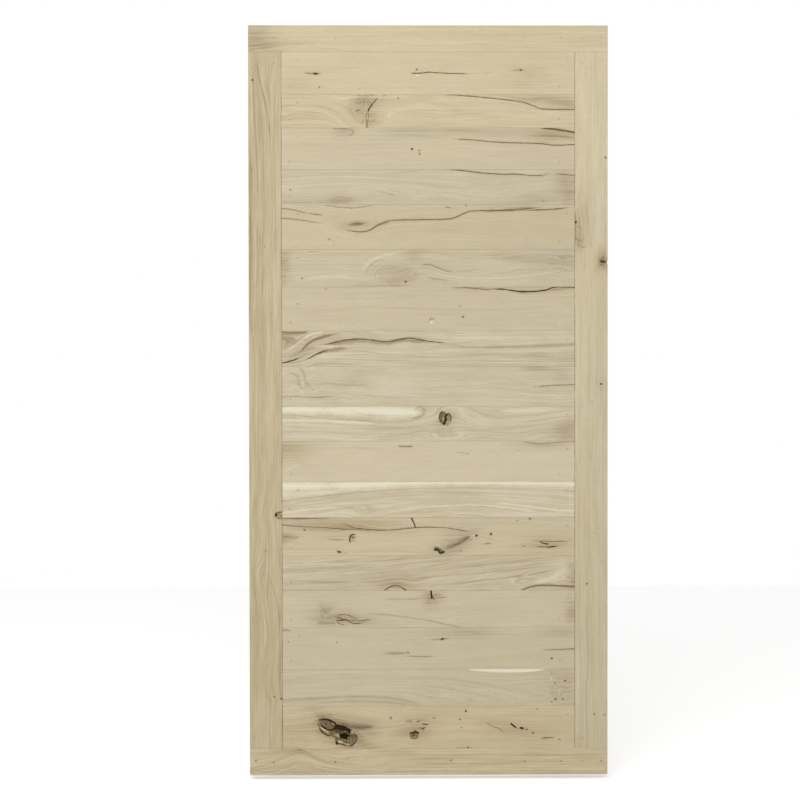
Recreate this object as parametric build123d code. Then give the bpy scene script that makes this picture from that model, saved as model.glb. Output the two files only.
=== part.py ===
from build123d import *
import os

# Barn door leaf: two stiles held between two full-width rails, filled flush with horizontal oak boards.
# Millimetres. X runs across the leaf, to the right as seen from the front, Y from front to back, Z up.
# The origin is the middle of the top edge, where the hangers take hold of the leaf.

# Leaf and frame
leaf_width = 1005.0
leaf_height = 2100.0
leaf_thickness = 40.0
top_rail_width = 74.0
bottom_rail_width = 74.0
stile_width = 92.0
corner_radius = 3.0

# Random-width boards from the top down, in proportion: together they fill the frame from rail to rail
board_proportions = (119, 93, 116, 98, 125, 105, 123, 100, 111, 98, 113, 101, 107, 98, 104, 117, 104, 120)

# Joints: the open line between neighbours, and the eased edge round every face
joint_gap = 0.3
arris = 0.8

# Tongue and groove: each board has its tongue up and its groove down, and both ends tongued
tongue_thickness = 12.0
tongue_length = 9.0
end_tongue_length = 12.0
groove_side_clearance = 0.2
groove_tip_clearance = 1.0

# Stub tenons of the stiles, hidden in the rails
tenon_thickness = 14.0
tenon_length = 48.0
tenon_outer_shoulder = 18.0
tenon_inner_wall = 3.0
mortise_side_clearance = 0.2
mortise_end_clearance = 1.5

# Open knots and lost chips in the front face, by piece: where the middle lies from the middle of that piece
# (across, up), the size (long, short), the lean of the long side in degrees, and the depth
open_knots = {
    "board_10": [((49.0, 10.0), (40.0, 35.0), 80.0, 7.0)],
    "board_13": [((36.0, -40.0), (30.0, 14.0), -28.0, 6.0)],
    "board_18": [
        ((-247.0, -12.0), (118.0, 52.0), -28.0, 5.0),
        ((-231.0, -25.0), (34.0, 26.0), -10.0, 14.0),
        ((-36.0, -21.0), (28.0, 26.0), 0.0, 5.0),
    ],
    "left_stile": [((41.0, -324.0), (18.0, 15.0), 90.0, 6.0)],
    "right_stile": [((45.5, 386.0), (10.0, 8.0), 90.0, 12.0)],
}

# Sizes that follow from those above
boards_top = -top_rail_width
boards_bottom = bottom_rail_width - leaf_height
boards_height = boards_top - boards_bottom
board_unit = boards_height / sum(board_proportions)
opening_width = leaf_width - 2 * stile_width
shoulder_length = opening_width - 2 * joint_gap
stile_centre = (leaf_width - stile_width) / 2
groove_width = tongue_thickness + 2 * groove_side_clearance
groove_depth = tongue_length + groove_tip_clearance
end_groove_depth = end_tongue_length + groove_tip_clearance
tenon_inner_shoulder = end_groove_depth + tenon_inner_wall
tenon_width = stile_width - tenon_outer_shoulder - tenon_inner_shoulder
tenon_centre = leaf_width / 2 - tenon_outer_shoulder - tenon_width / 2


def ease(piece):
    """Eases the arrises round the front and back faces of a piece."""
    faces = piece.faces().filter_by(Axis.Y).sort_by(Axis.Y)
    return chamfer(faces[0].edges() + faces[-1].edges(), arris)


def tongue(edge, width):
    """Section of a tongue that stands on an upper edge and runs down into the body by the given width."""
    return Pos(0, edge + (tongue_length - width) / 2) * Rectangle(tongue_thickness, tongue_length + width)


def board(width, top):
    """Board with its joints at top and at top - width: tongue up, groove down, and tongued ends."""
    half = (width - joint_gap) / 2
    middle = top - width / 2
    groove = Pos(0, groove_depth / 2 - half) * Rectangle(groove_width, groove_depth)
    section = Rectangle(leaf_thickness, 2 * half) + tongue(half, half) - groove
    body = ease(extrude(Plane.YZ * section, amount=shoulder_length / 2, both=True))
    end_section = tongue(half, 2 * half - groove_depth)
    ends = extrude(Plane.YZ * end_section, amount=opening_width / 2 + end_tongue_length, both=True)
    return Pos(0, 0, middle) * (body + ends), (0, middle)


def stile(side):
    """Stile on the left (side -1) or right (+1): grooved for the board ends, with a tenon at each end."""
    length = boards_height - joint_gap
    middle = (boards_top + boards_bottom) / 2
    groove = Pos(side * (end_groove_depth - stile_width) / 2, 0) * Rectangle(end_groove_depth, groove_width)
    body = ease(extrude(Rectangle(stile_width, leaf_thickness) - groove, amount=length / 2, both=True))
    tenon = Box(tenon_width, tenon_thickness, tenon_length)
    offset = side * (tenon_centre - stile_centre)
    for end in (-1, 1):
        body += Pos(offset, 0, end * (length + tenon_length) / 2) * tenon
    return Pos(side * stile_centre, 0, middle) * body, (side * stile_centre, middle)


def rail(outer, inner):
    """Full-width rail from the leaf's edge at height outer to its inner edge, mortised for the stiles."""
    middle = (outer + inner) / 2
    upward = 1 if outer > inner else -1
    outline = Rectangle(leaf_width, abs(outer - inner))
    corners = outline.vertices().filter_by(lambda corner: corner.Y * upward > 0)
    outline = fillet(corners, corner_radius)
    bar = ease(extrude(Plane.XZ * outline, amount=leaf_thickness / 2, both=True))
    bar = Pos(0, 0, middle) * bar
    depth = tenon_length + mortise_end_clearance
    mortise = Box(
        tenon_width + 2 * mortise_side_clearance, tenon_thickness + 2 * mortise_side_clearance, depth
    )
    for side in (-1, 1):
        bar -= Pos(side * tenon_centre, 0, inner + upward * depth / 2) * mortise
    return bar, (0, middle)


def top_rail():
    """Top rail, grooved between the stiles for the tongue of the first board."""
    edge = boards_top + joint_gap / 2
    bar, centre = rail(0, edge)
    groove = Box(opening_width + 2 * end_groove_depth, groove_width, groove_depth)
    return bar - Pos(0, 0, edge + groove_depth / 2) * groove, centre


def bottom_rail():
    """Bottom rail, with a tongue between the stiles for the groove of the last board."""
    edge = boards_bottom - joint_gap / 2
    bar, centre = rail(-leaf_height, edge)
    section = tongue(edge, bottom_rail_width / 2)
    return bar + extrude(Plane.YZ * section, amount=shoulder_length / 2, both=True), centre


def cut_knots(piece, centre, knots):
    """Sinks the open knots of one piece into its front face."""
    for (across, up), (long_side, short_side), lean, depth in knots:
        middle = (centre[0] + across, -leaf_thickness / 2, centre[1] + up)
        place = Plane(origin=middle, x_dir=(1, 0, 0), z_dir=(0, -1, 0))
        outline = Rot(0, 0, lean) * Ellipse(long_side / 2, short_side / 2)
        piece -= extrude(place * outline, amount=-depth)
    return piece


def build_leaf():
    """All the pieces of the leaf by name, each with the middle of its face."""
    pieces = {
        "top_rail": top_rail(),
        "bottom_rail": bottom_rail(),
        "left_stile": stile(-1),
        "right_stile": stile(1),
    }
    top = boards_top
    for number, proportion in enumerate(board_proportions, start=1):
        width = proportion * board_unit
        pieces[f"board_{number:02d}"] = board(width, top)
        top -= width
    return pieces


os.makedirs("parts", exist_ok=True)
for name, (piece, centre) in build_leaf().items():
    export_step(cut_knots(piece, centre, open_knots.get(name, [])), f"parts/{name}.step")
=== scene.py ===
import bmesh
import bpy
import math
import numpy as np
from mathutils import Matrix, Vector
from mathutils.geometry import delaunay_2d_cdt


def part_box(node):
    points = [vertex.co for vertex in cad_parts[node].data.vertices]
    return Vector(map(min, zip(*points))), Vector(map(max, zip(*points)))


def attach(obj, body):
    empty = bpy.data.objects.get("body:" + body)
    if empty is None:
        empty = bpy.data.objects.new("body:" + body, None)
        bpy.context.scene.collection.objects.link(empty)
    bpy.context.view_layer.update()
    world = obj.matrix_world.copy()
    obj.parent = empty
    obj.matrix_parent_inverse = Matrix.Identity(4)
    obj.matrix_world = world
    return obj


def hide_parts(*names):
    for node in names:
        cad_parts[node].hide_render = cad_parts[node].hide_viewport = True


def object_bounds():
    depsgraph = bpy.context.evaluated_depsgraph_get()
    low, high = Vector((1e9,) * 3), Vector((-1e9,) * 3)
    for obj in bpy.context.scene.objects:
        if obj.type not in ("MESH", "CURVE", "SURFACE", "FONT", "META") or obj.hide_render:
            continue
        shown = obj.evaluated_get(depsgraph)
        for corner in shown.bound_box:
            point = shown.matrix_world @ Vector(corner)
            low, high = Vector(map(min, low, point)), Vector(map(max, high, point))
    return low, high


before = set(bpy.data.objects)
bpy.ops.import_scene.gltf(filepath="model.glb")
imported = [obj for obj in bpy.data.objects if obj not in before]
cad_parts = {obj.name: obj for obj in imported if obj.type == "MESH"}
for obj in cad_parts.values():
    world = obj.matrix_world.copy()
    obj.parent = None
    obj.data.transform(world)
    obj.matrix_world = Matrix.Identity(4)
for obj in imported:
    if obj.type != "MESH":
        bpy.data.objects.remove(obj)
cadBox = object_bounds()
print("frame loaded:", len(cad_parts), "pieces of the leaf")

mm = 0.001
frontFace = cadBox[0][1]  # metres, the face that the photo shows
backFace = cadBox[1][1]


# Camera, set so that the leaf's four corners fall where the photo has them

photoView = {
    "image": 800,  # pixels each way
    "lens": 80.0,  # mm
    "sensor": 36.0,  # mm
    "place": (-0.131, -4.999, -0.970),  # metres
    "yaw": -0.589,  # degrees
    "pitch": -0.878,
    "roll": -0.081,
}


def cameraTurn(view):
    yaw = Matrix.Rotation(math.radians(view["yaw"]), 4, "Z")
    pitch = Matrix.Rotation(math.radians(90 + view["pitch"]), 4, "X")
    roll = Matrix.Rotation(math.radians(view["roll"]), 4, "Z")
    return yaw @ pitch @ roll


def makeCamera(view):
    data = bpy.data.cameras.new("photoCamera")
    data.lens = view["lens"]
    data.sensor_width = view["sensor"]
    camera = bpy.data.objects.new("photoCamera", data)
    camera.matrix_world = Matrix.Translation(view["place"]) @ cameraTurn(view)
    bpy.context.scene.collection.objects.link(camera)
    bpy.context.scene.camera = camera


def fromPhoto(pixels, view=photoView):
    # pixels of the photo to X and Z on the leaf's front face
    turn = np.array(cameraTurn(view).to_3x3())
    focal = view["lens"] / view["sensor"] * view["image"]
    middle = view["image"] / 2
    pixels = np.atleast_2d(np.array(pixels, float))
    right = (pixels[:, :1] - middle) / focal
    up = (middle - pixels[:, 1:]) / focal
    rays = right * turn[:, 0] + up * turn[:, 1] - turn[:, 2]
    reach = (frontFace - view["place"][1]) / rays[:, 1:2]
    spots = np.array(view["place"]) + reach * rays
    return spots[:, (0, 2)]


photoMiddle = photoView["image"] / 2
twoPixels = fromPhoto([(photoMiddle, photoMiddle), (photoMiddle + 1, photoMiddle)])
pixelSize = float(twoPixels[1, 0] - twoPixels[0, 0])  # metres on the leaf
makeCamera(photoView)
print("camera set, one pixel is", round(pixelSize / mm, 3), "mm on the leaf")


# Curves and fields

def smoothPath(points, step):
    # an even walk along a smooth curve through the points, and how far along each step lies
    knots = np.array(points, float)
    knots = np.vstack([2 * knots[0] - knots[1], knots, 2 * knots[-1] - knots[-2]])
    t = np.linspace(0, 1, 24, endpoint=False)[:, None]
    runs = []
    for a, b, c, d in zip(knots, knots[1:], knots[2:], knots[3:]):
        bend = (2 * a - 5 * b + 4 * c - d) * t**2 + (3 * b - a - 3 * c + d) * t**3
        runs.append(0.5 * (2 * b + (c - a) * t + bend))
    curve = np.vstack(runs + [knots[-2:-1]])
    along = np.concatenate([[0], np.cumsum(np.hypot(*np.diff(curve, axis=0).T))])
    even = np.linspace(0, along[-1], max(4, int(along[-1] / step) + 1))
    return np.stack([np.interp(even, along, curve[:, 0]), np.interp(even, along, curve[:, 1])], 1), even


def wobble(along, lengths, rng):
    # a gentle random wave, about -1 to 1, made of sines of the given lengths
    wave = np.zeros_like(along)
    for length in lengths:
        wave += np.sin(along / length * 2 * math.pi + rng.uniform(0, 2 * math.pi))
    return wave / len(lengths) ** 0.5


def ripple(a, b, longWave, shortWave, rng, count=7):
    # a smooth random field, about -1 to 1, stretched along the grain
    field = np.zeros_like(a)
    for _ in range(count):
        slant = rng.normal(0, 1, 2)
        turns = a / longWave * slant[0] + b / shortWave * slant[1] + rng.uniform(0, 1)
        field += np.sin(2 * math.pi * turns)
    return field / count**0.5


def smoothStep(low, high, value):
    t = np.clip((value - low) / (high - low), 0, 1)
    return t * t * (3 - 2 * t)


# Marks in the wood: strokes follow a path, spots are round, and both can sink into the face

markChannel = {"dark": 0, "brown": 1, "pale": 2, "grey": 3}
strokeSetup = {
    "pathStep": 0.7 * mm,
    "rowStep": 3,  # path steps between two rows of mesh points
    "shakeWaves": (17 * mm, 37 * mm),
    "shake": 0.12,  # mm sideways, and more for each mm of width
    "shakeGrowth": 0.05,
    "widthWaves": np.array((19, 43, 101)) * mm,
    "widthChange": 0.22,
    "thinnest": 0.1 * mm,
    "runOut": 4 * mm,  # a stroke that ends this near the edge runs out over it
    "bluntWidths": 25,  # a strong stroke shorter than this many widths has blunt ends
    "bluntStrength": 0.9,
    "bluntTaper": 0.1,  # shares of the length
    "longTaper": 0.3,
    "mostDepth": 0.9,  # in widths
}
markShade = {
    "patchFall": 1.1,
    "bareFill": 0.7,  # how far bare wood stands up again in a hollow
    "bareSapwood": 0.3,
    "spotHalo": 0.35,  # brown round a dark spot
    "crackHalo": 0.5,  # brown beside a crack
    "haloReach": 1.6 * mm,
    # wider cracks get more painted shade, darker and with a crisper edge
    "boldFrom": 1.1 * mm,  # half width at which cracks turn darker, with a crisp edge
    "boldTo": 2.2 * mm,
}
spotUneven = 0.16


def makeStroke(kind, width, depth, strength, points, rect, rng):
    # a crack (kind dark, with depth, its dark partly the wood's own and partly painted shade in the
    # hollow) or a soft vein, tapered where it ends inside the face
    setup = strokeSetup
    path, along = smoothPath(points, setup["pathStep"])
    ways = np.gradient(path, axis=0)
    ways /= np.hypot(ways[:, 0], ways[:, 1])[:, None]
    sideways = np.stack([-ways[:, 1], ways[:, 0]], 1)
    shake = wobble(along, setup["shakeWaves"], rng) * (setup["shakeGrowth"] * width + setup["shake"]) * mm
    path = path + sideways * shake[:, None]
    length = along[-1]
    taper = np.ones_like(along)
    blunt = length < setup["bluntWidths"] * width * mm and strength > setup["bluntStrength"]
    fullAt = setup["bluntTaper" if blunt else "longTaper"] * length
    for end, away in ((0, along), (-1, length - along)):
        x, z = path[end]
        inside = min(x - rect[0], rect[1] - x, z - rect[2], rect[3] - z)
        if inside > setup["runOut"]:
            taper *= smoothStep(-0.02 * length, min(fullAt, (40 + 2 * width) * mm), away)
    waves = setup["widthWaves"] * (1 + width / 5)
    body = 1 + setup["widthChange"] * wobble(along, waves, rng)
    half = np.maximum(0.5 * width * mm * taper * np.clip(body, 0.5, 1.5), setup["thinnest"])
    fade = np.clip(half / (half.max() * 0.6), 0, 1)
    deep = min(depth, setup["mostDepth"] * width) * mm * np.clip(taper * 1.3, 0, 1)
    return {
        "kind": kind, "path": path, "sideways": sideways, "half": half,
        "depth": deep, "strength": strength * fade,
    }


def makeSpot(kind, size, depth, strength, at, lean, rng, soft=0.5):
    # a knot, hole, nail mark or stain: its long and short side and soft rim in mm, its lean in degrees
    phases = rng.uniform(0, 2 * math.pi, 4)
    return {
        "kind": kind, "at": np.array(at), "radii": np.array(size) * mm / 2, "lean": math.radians(lean),
        "depth": depth * mm, "strength": strength, "phases": phases, "soft": soft * mm,
    }


def spotRim(spot, angle):
    # the uneven rim of a spot, smoother when it is long and thin
    uneven = spotUneven * min(1.0, 3.0 * spot["radii"].min() / spot["radii"].max())
    rim = 1
    for turns, phase in zip((2, 3, 5, 7), spot["phases"]):
        rim = rim + uneven / turns**0.5 * np.sin(turns * angle + phase)
    return rim


def spotReach(spot, points):
    # how far out points lie from a spot's middle, where 1 is its uneven rim
    away = points - spot["at"]
    c, s = math.cos(spot["lean"]), math.sin(spot["lean"])
    u = (away[:, 0] * c + away[:, 1] * s) / spot["radii"][0]
    v = (away[:, 1] * c - away[:, 0] * s) / spot["radii"][1]
    angle = np.arctan2(v, u)
    return np.hypot(u, v) / spotRim(spot, angle)


def strokeRows(stroke):
    # mesh points that let the face bend down into a stroke
    if stroke["kind"] == "dark":
        offsets = 0, -0.55, 0.55, -1.1, 1.1, -1.9, 1.9
    elif stroke["half"].max() < 3 * mm:
        offsets = 0, -0.8, 0.8, -1.7, 1.7
    else:
        offsets = 0, -0.5, 0.5, -1, 1, -1.5, 1.5
    rows = []
    for offset in offsets:
        row = stroke["path"] + stroke["sideways"] * (stroke["half"] * offset)[:, None]
        rows.append(row[::strokeSetup["rowStep"]])
    return np.vstack(rows)


def spotRings(spot):
    rings = [spot["at"][None]]
    small = min(spot["radii"]) < 4 * mm
    levels = (0.6, 1.0, 1.45) if small else (0.2, 0.4, 0.6, 0.75, 0.9, 1.0, 1.12, 1.3)
    for level in levels:
        count = max(8, int(2 * math.pi * max(spot["radii"]) * level / (1.6 * mm)))
        angle = np.linspace(0, 2 * math.pi, count, endpoint=False)
        rim = spotRim(spot, angle)
        u = np.cos(angle) * spot["radii"][0] * level * rim
        v = np.sin(angle) * spot["radii"][1] * level * rim
        c, s = math.cos(spot["lean"]), math.sin(spot["lean"])
        rings.append(spot["at"] + np.stack([u * c - v * s, u * s + v * c], 1))
    return np.vstack(rings)


def nearStroke(stroke, points):
    # the points near a stroke, the step of its path that each lies at, and how far off
    path = stroke["path"]
    reach = stroke["half"].max() * 3 + 6 * mm
    low, high = path.min(0) - reach, path.max(0) + reach
    near = np.flatnonzero(((points > low) & (points < high)).all(1))
    gaps = np.hypot(points[near, None, 0] - path[None, :, 0], points[near, None, 1] - path[None, :, 1])
    step = gaps.argmin(1)
    return near, step, gaps[np.arange(len(near)), step]


def readMarks(points, drawn):
    # depth and the four mark channels at points of the face: stains, veins and knots, then the cracks
    depth = np.zeros(len(points))
    marks = np.zeros((len(points), 4))

    def add(where, channel, value):
        marks[where, channel] = np.maximum(marks[where, channel], value)

    for patch in drawn["patches"]:
        e = spotReach(patch, points)
        fall = np.exp(-(e**2) * markShade["patchFall"])
        add(slice(None), markChannel[patch["kind"]], patch["strength"] * fall)
    for vein in drawn["veins"]:
        near, step, gap = nearStroke(vein, points)
        t = gap / vein["half"][step]
        add(near, markChannel[vein["kind"]], vein["strength"][step] * np.exp(-(t**2)))
    for spot in drawn["spots"]:
        e = spotReach(spot, points)
        size = min(spot["radii"])
        soft = min(0.6, spot["soft"] / size)
        inside = 1 - smoothStep(1 - soft, 1 + soft, e)
        if spot["kind"] == "bare":
            marks *= 1 - spot["strength"] * inside[:, None]
            depth *= 1 - markShade["bareFill"] * inside
            add(slice(None), markChannel["pale"], markShade["bareSapwood"] * spot["strength"] * inside)
            continue
        depth = np.maximum(depth, spot["depth"] * (1 - smoothStep(0.55, 1.0, e)))
        add(slice(None), markChannel[spot["kind"]], spot["strength"] * inside)
        if spot["kind"] == "dark":
            halo = np.exp(-((np.maximum(e - 1, 0) * size / (0.8 * mm + 0.2 * size)) ** 2))
            add(slice(None), markChannel["brown"], markShade["spotHalo"] * spot["strength"] * halo)
    # the dark of a crack is partly painted shade in its hollow, on top of the carved depth
    for crack in drawn["cracks"]:
        near, step, gap = nearStroke(crack, points)
        half, strength = crack["half"][step], crack["strength"][step]
        t = gap / half
        depth[near] = np.maximum(depth[near], crack["depth"][step] * np.clip(1 - t, 0, 1) ** 0.6)
        bold = smoothStep(markShade["boldFrom"], markShade["boldTo"], half)
        edge = 1 - smoothStep(0.4 + 0.3 * bold, 1.9 - 0.6 * bold, t)
        add(near, markChannel["dark"], (0.85 + 0.15 * bold) * strength * edge)
        halo = np.exp(-((gap / (half + markShade["haloReach"])) ** 2))
        add(near, markChannel["brown"], markShade["crackHalo"] * strength * halo)
    return depth, marks


grainSetup = {
    "flowAcross": 17 * mm,  # how far a crack bends the grain
    "flowPast": 60 * mm,
    "broadWave": (0.55, 0.25, 1.8 * mm),  # metres along and across, and lift
    "fineWave": (0.12, 0.05, 0.35 * mm),
    "swirlWave": (0.05, 0.03),
    "swirlCount": 5,
}


def faceSpot(at, piece):
    # a pixel of the photo as the place along and across the grain of a piece
    x, z = fromPhoto([at])[0]
    return (z, x) if piece.get("upright") else (x, z)


def grainBump(piece, at, size, a, b):
    # a soft bump, 1 in its middle, at a place of the photo and of a size in pixels
    a0, b0 = faceSpot(at, piece)
    reach = np.array(size) * pixelSize / 2
    if piece.get("upright"):
        reach = reach[::-1]
    return np.exp(-(((a - a0) / reach[0]) ** 2) - ((b - b0) / reach[1]) ** 2)


def grainField(piece, a, b, flows, knots, rng):
    # how the growth lines run: equal values lie on one line, bent along the cracks and round the knots
    setup = grainSetup
    ring = b.copy()
    total = np.zeros_like(a)
    lift = np.zeros_like(a)
    for path in flows:
        order = np.argsort(path[:, 0])
        line = np.interp(a, path[order, 0], path[order, 1])
        start, end = path[order[0], 0], path[order[-1], 0]
        past = np.maximum(np.maximum(start - a, a - end), 0)
        weight = np.exp(-(((b - line) / setup["flowAcross"]) ** 2) - (past / setup["flowPast"]) ** 2)
        lift += weight * (line - path[:, 1].mean())
        total += weight
    ring -= lift / np.maximum(total, 1)
    for a0, b0, long, short, force in knots:
        fall = np.exp(-(((a - a0) / long) ** 2) - ((b - b0) / short) ** 2)
        ring -= force * (b - b0) * fall
    wave = piece.get("wave", 1.0)
    for longWave, shortWave, height in (setup["broadWave"], setup["fineWave"]):
        ring += wave * height * ripple(a, b, longWave, shortWave, rng)
    ring -= piece.get("slope", 0.0) * (a - a.mean())
    for at, size, force in piece.get("swirls", ()):
        swirl = ripple(a, b, *setup["swirlWave"], rng, setup["swirlCount"])
        ring += force * mm * grainBump(piece, at, size, a, b) * swirl
    for at, size, force in piece.get("arches", ()):
        ring -= force * mm * grainBump(piece, at, size, a, b)
    return ring


# Mesh of one piece: a fine front face with its marks carved in, eased edges, hidden tongues and a back

meshSetup = {
    "gridLong": 5.0 * mm,  # between mesh points along the grain
    "gridShort": 3.2 * mm,
    "fineGrid": 1.25 * mm,  # round the knots
    "backGrid": 9.0 * mm,
    "arris": 0.8 * mm,  # eased edge of the CAD pieces
    "room": 0.4 * mm,  # least room between mesh points
    "press": 0.12 * mm,  # neighbours are pressed together by this much each
    "easeDepth": 0.55 * mm,
    "tongueHalf": 6.0 * mm,
    "flatSide": 0.5 * mm,  # a side that reaches less than this has no tongue or groove
    "weld": 0.001 * mm,
    "near": 0.01 * mm,
    "groove": 10.0 * mm,
    "tongue": 9.0 * mm,
    "endTongue": 12.0 * mm,
    "endGroove": 13.0 * mm,
    "cornerRadius": 3.0 * mm,
    "sharpFrom": math.radians(32),
}


def faceOutline(node):
    # the front face of a CAD piece out to its edges: left, right, bottom, top
    points = np.array([v.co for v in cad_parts[node].data.vertices])
    front = points[points[:, 1] < frontFace + meshSetup["near"]][:, (0, 2)]
    low = front.min(0) - meshSetup["arris"]
    high = front.max(0) + meshSetup["arris"]
    return low[0], high[0], low[1], high[1]


def biteDepth(bite, heights):
    # how far a lost chip cuts into the right edge at the given heights
    if not bite:
        return np.zeros_like(heights)
    away = (heights - fromPhoto([bite["at"]])[0, 1]) / (0.5 * bite["length"] * mm)
    return bite["depth"] * mm * (1 - smoothStep(0.15, 1.0, np.abs(away)))


def sideFractions(rect, longSide, shortSide, strokes, bite):
    # where the mesh points of the four sides lie: evenly, and at each crack that runs out over the edge
    width, height = rect[1] - rect[0], rect[3] - rect[2]
    sides = []
    for length, step in ((width, longSide), (height, shortSide)) * 2:
        sides.append(list(np.arange(1, int(length / step)) / int(length / step)))
    for stroke in strokes:
        for end in (0, -1):
            x, z = stroke["path"][end]
            half = stroke["half"][end]
            outs = (rect[2] - z, x - rect[1], z - rect[3], rect[0] - x)
            side = int(np.argmax(outs))
            if outs[side] < -strokeSetup["runOut"]:
                continue
            spots = (x - rect[0]) / width, (z - rect[2]) / height
            spot = spots[side % 2] if side < 2 else 1 - spots[side % 2]
            length = (width, height)[side % 2]
            fresh = [spot - half / length, spot, spot + half / length]
            sides[side] = [f for f in sides[side] if abs(f - spot) * length > half + 0.8 * mm]
            sides[side] += [f for f in fresh if 0.004 < f < 0.996]
    if bite:
        middle = (fromPhoto([bite["at"]])[0, 1] - rect[2]) / height
        reach = bite["length"] * mm / height
        sides[1] = [f for f in sides[1] if abs(f - middle) > 0.7 * reach]
        sides[1] += list(middle + reach * np.linspace(-0.6, 0.6, 11))
    return [sorted(side) for side in sides]


def outlineLoop(rect, grow, radii, fractions):
    # one turn round the piece, counter-clockwise from the front
    # grow widens the bottom, right, top and left sides
    x0, x1, z0, z1 = rect[0] - grow[3], rect[1] + grow[1], rect[2] - grow[0], rect[3] + grow[2]
    corners = np.array([(x0, z0), (x1, z0), (x1, z1), (x0, z1)])
    loop = []
    for side in range(4):
        start, end = corners[side], corners[(side + 1) % 4]
        way = (end - start) / np.hypot(*(end - start))
        r0, r1 = radii[side], radii[(side + 1) % 4]
        loop.append(start + way * r0)
        for f in fractions[side]:
            loop.append(start + way * r0 + (end - way * r1 - start - way * r0) * f)
        if r1:
            turn = np.array([-way[1], way[0]])
            middle = end - way * r1 + turn * r1
            for angle in np.radians((0, 22.5, 45, 67.5)):
                loop.append(middle + r1 * (way * math.sin(angle) - turn * math.cos(angle)))
    return np.array(loop)


def fillFace(border, inner):
    # the points of a face, its border first, and triangles over them
    points = np.vstack([border, inner])
    result = delaunay_2d_cdt([Vector(p) for p in points], [], [list(range(len(border)))], 1, 1e-7)
    order = [ids[0] for ids in result[3]]
    triangles = [[order[i] for i in face] for face in result[2]]
    return points, triangles


def gridPoints(rect, longStep, shortStep, margin):
    xs = np.arange(rect[0] + margin, rect[1] - margin, longStep)
    zs = np.arange(rect[2] + margin, rect[3] - margin, shortStep)
    gridX, gridZ = np.meshgrid(xs, zs)
    gridX[1::2] += longStep / 2
    points = np.stack([gridX.ravel(), gridZ.ravel()], 1)
    return points[points[:, 0] < rect[1] - margin]


def facePoints(rect, drawn, fine, longStep, shortStep):
    # the inner mesh points: those of the marks, a fine grid at knots, and a grid where there is room
    ease = meshSetup["arris"]
    groups = [strokeRows(stroke) for stroke in drawn["veins"] + drawn["cracks"]]
    groups += [spotRings(spot) for spot in drawn["spots"]]
    for x0, y0, x1, y1 in fine:
        (left, top), (right, bottom) = fromPhoto([(x0, y0), (x1, y1)])
        step = meshSetup["fineGrid"]
        groups.append(gridPoints((left, right, bottom, top), step, step, 0))
    marks = np.vstack(groups) if groups else np.zeros((0, 2))
    room = meshSetup["room"] + ease
    inside = (marks[:, 0] > rect[0] + room) & (marks[:, 0] < rect[1] - room)
    inside &= (marks[:, 1] > rect[2] + room) & (marks[:, 1] < rect[3] - room)
    marks = marks[inside]
    _, first = np.unique(np.round(marks / meshSetup["room"]).astype(int), axis=0, return_index=True)
    marks = marks[np.sort(first)]
    grid = gridPoints(rect, longStep, shortStep, ease + 0.5 * shortStep)
    if len(marks):
        keep = np.ones(len(grid), bool)
        for chunk in np.array_split(np.arange(len(grid)), max(1, len(grid) // 800)):
            across = grid[chunk, None, 0] - marks[None, :, 0]
            upward = grid[chunk, None, 1] - marks[None, :, 1]
            keep[chunk] = (across**2 + upward**2).min(1) > (0.55 * min(longStep, shortStep)) ** 2
        grid = grid[keep]
    return np.vstack([marks, grid])


smallMarks = {
    "speck": (2.2, 3.4),  # mm across, least and most
    "speckDepth": 1.6,
    "speckShade": 0.8,
    "nail": (6.0, 5.4),
    "nailDepth": 0.3,
    "nailShade": 0.3,
    "nailSoft": 1.6,
    "nailShift": 1.0 * mm,
    "mottleLong": (2.5, 6.5),
    "mottleShort": (1.6, 3.2),
    "mottleLean": 70,  # degrees either way
    "mottleDepth": 0.5,
    "mottleShade": (0.25, 0.6),
}


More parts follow.
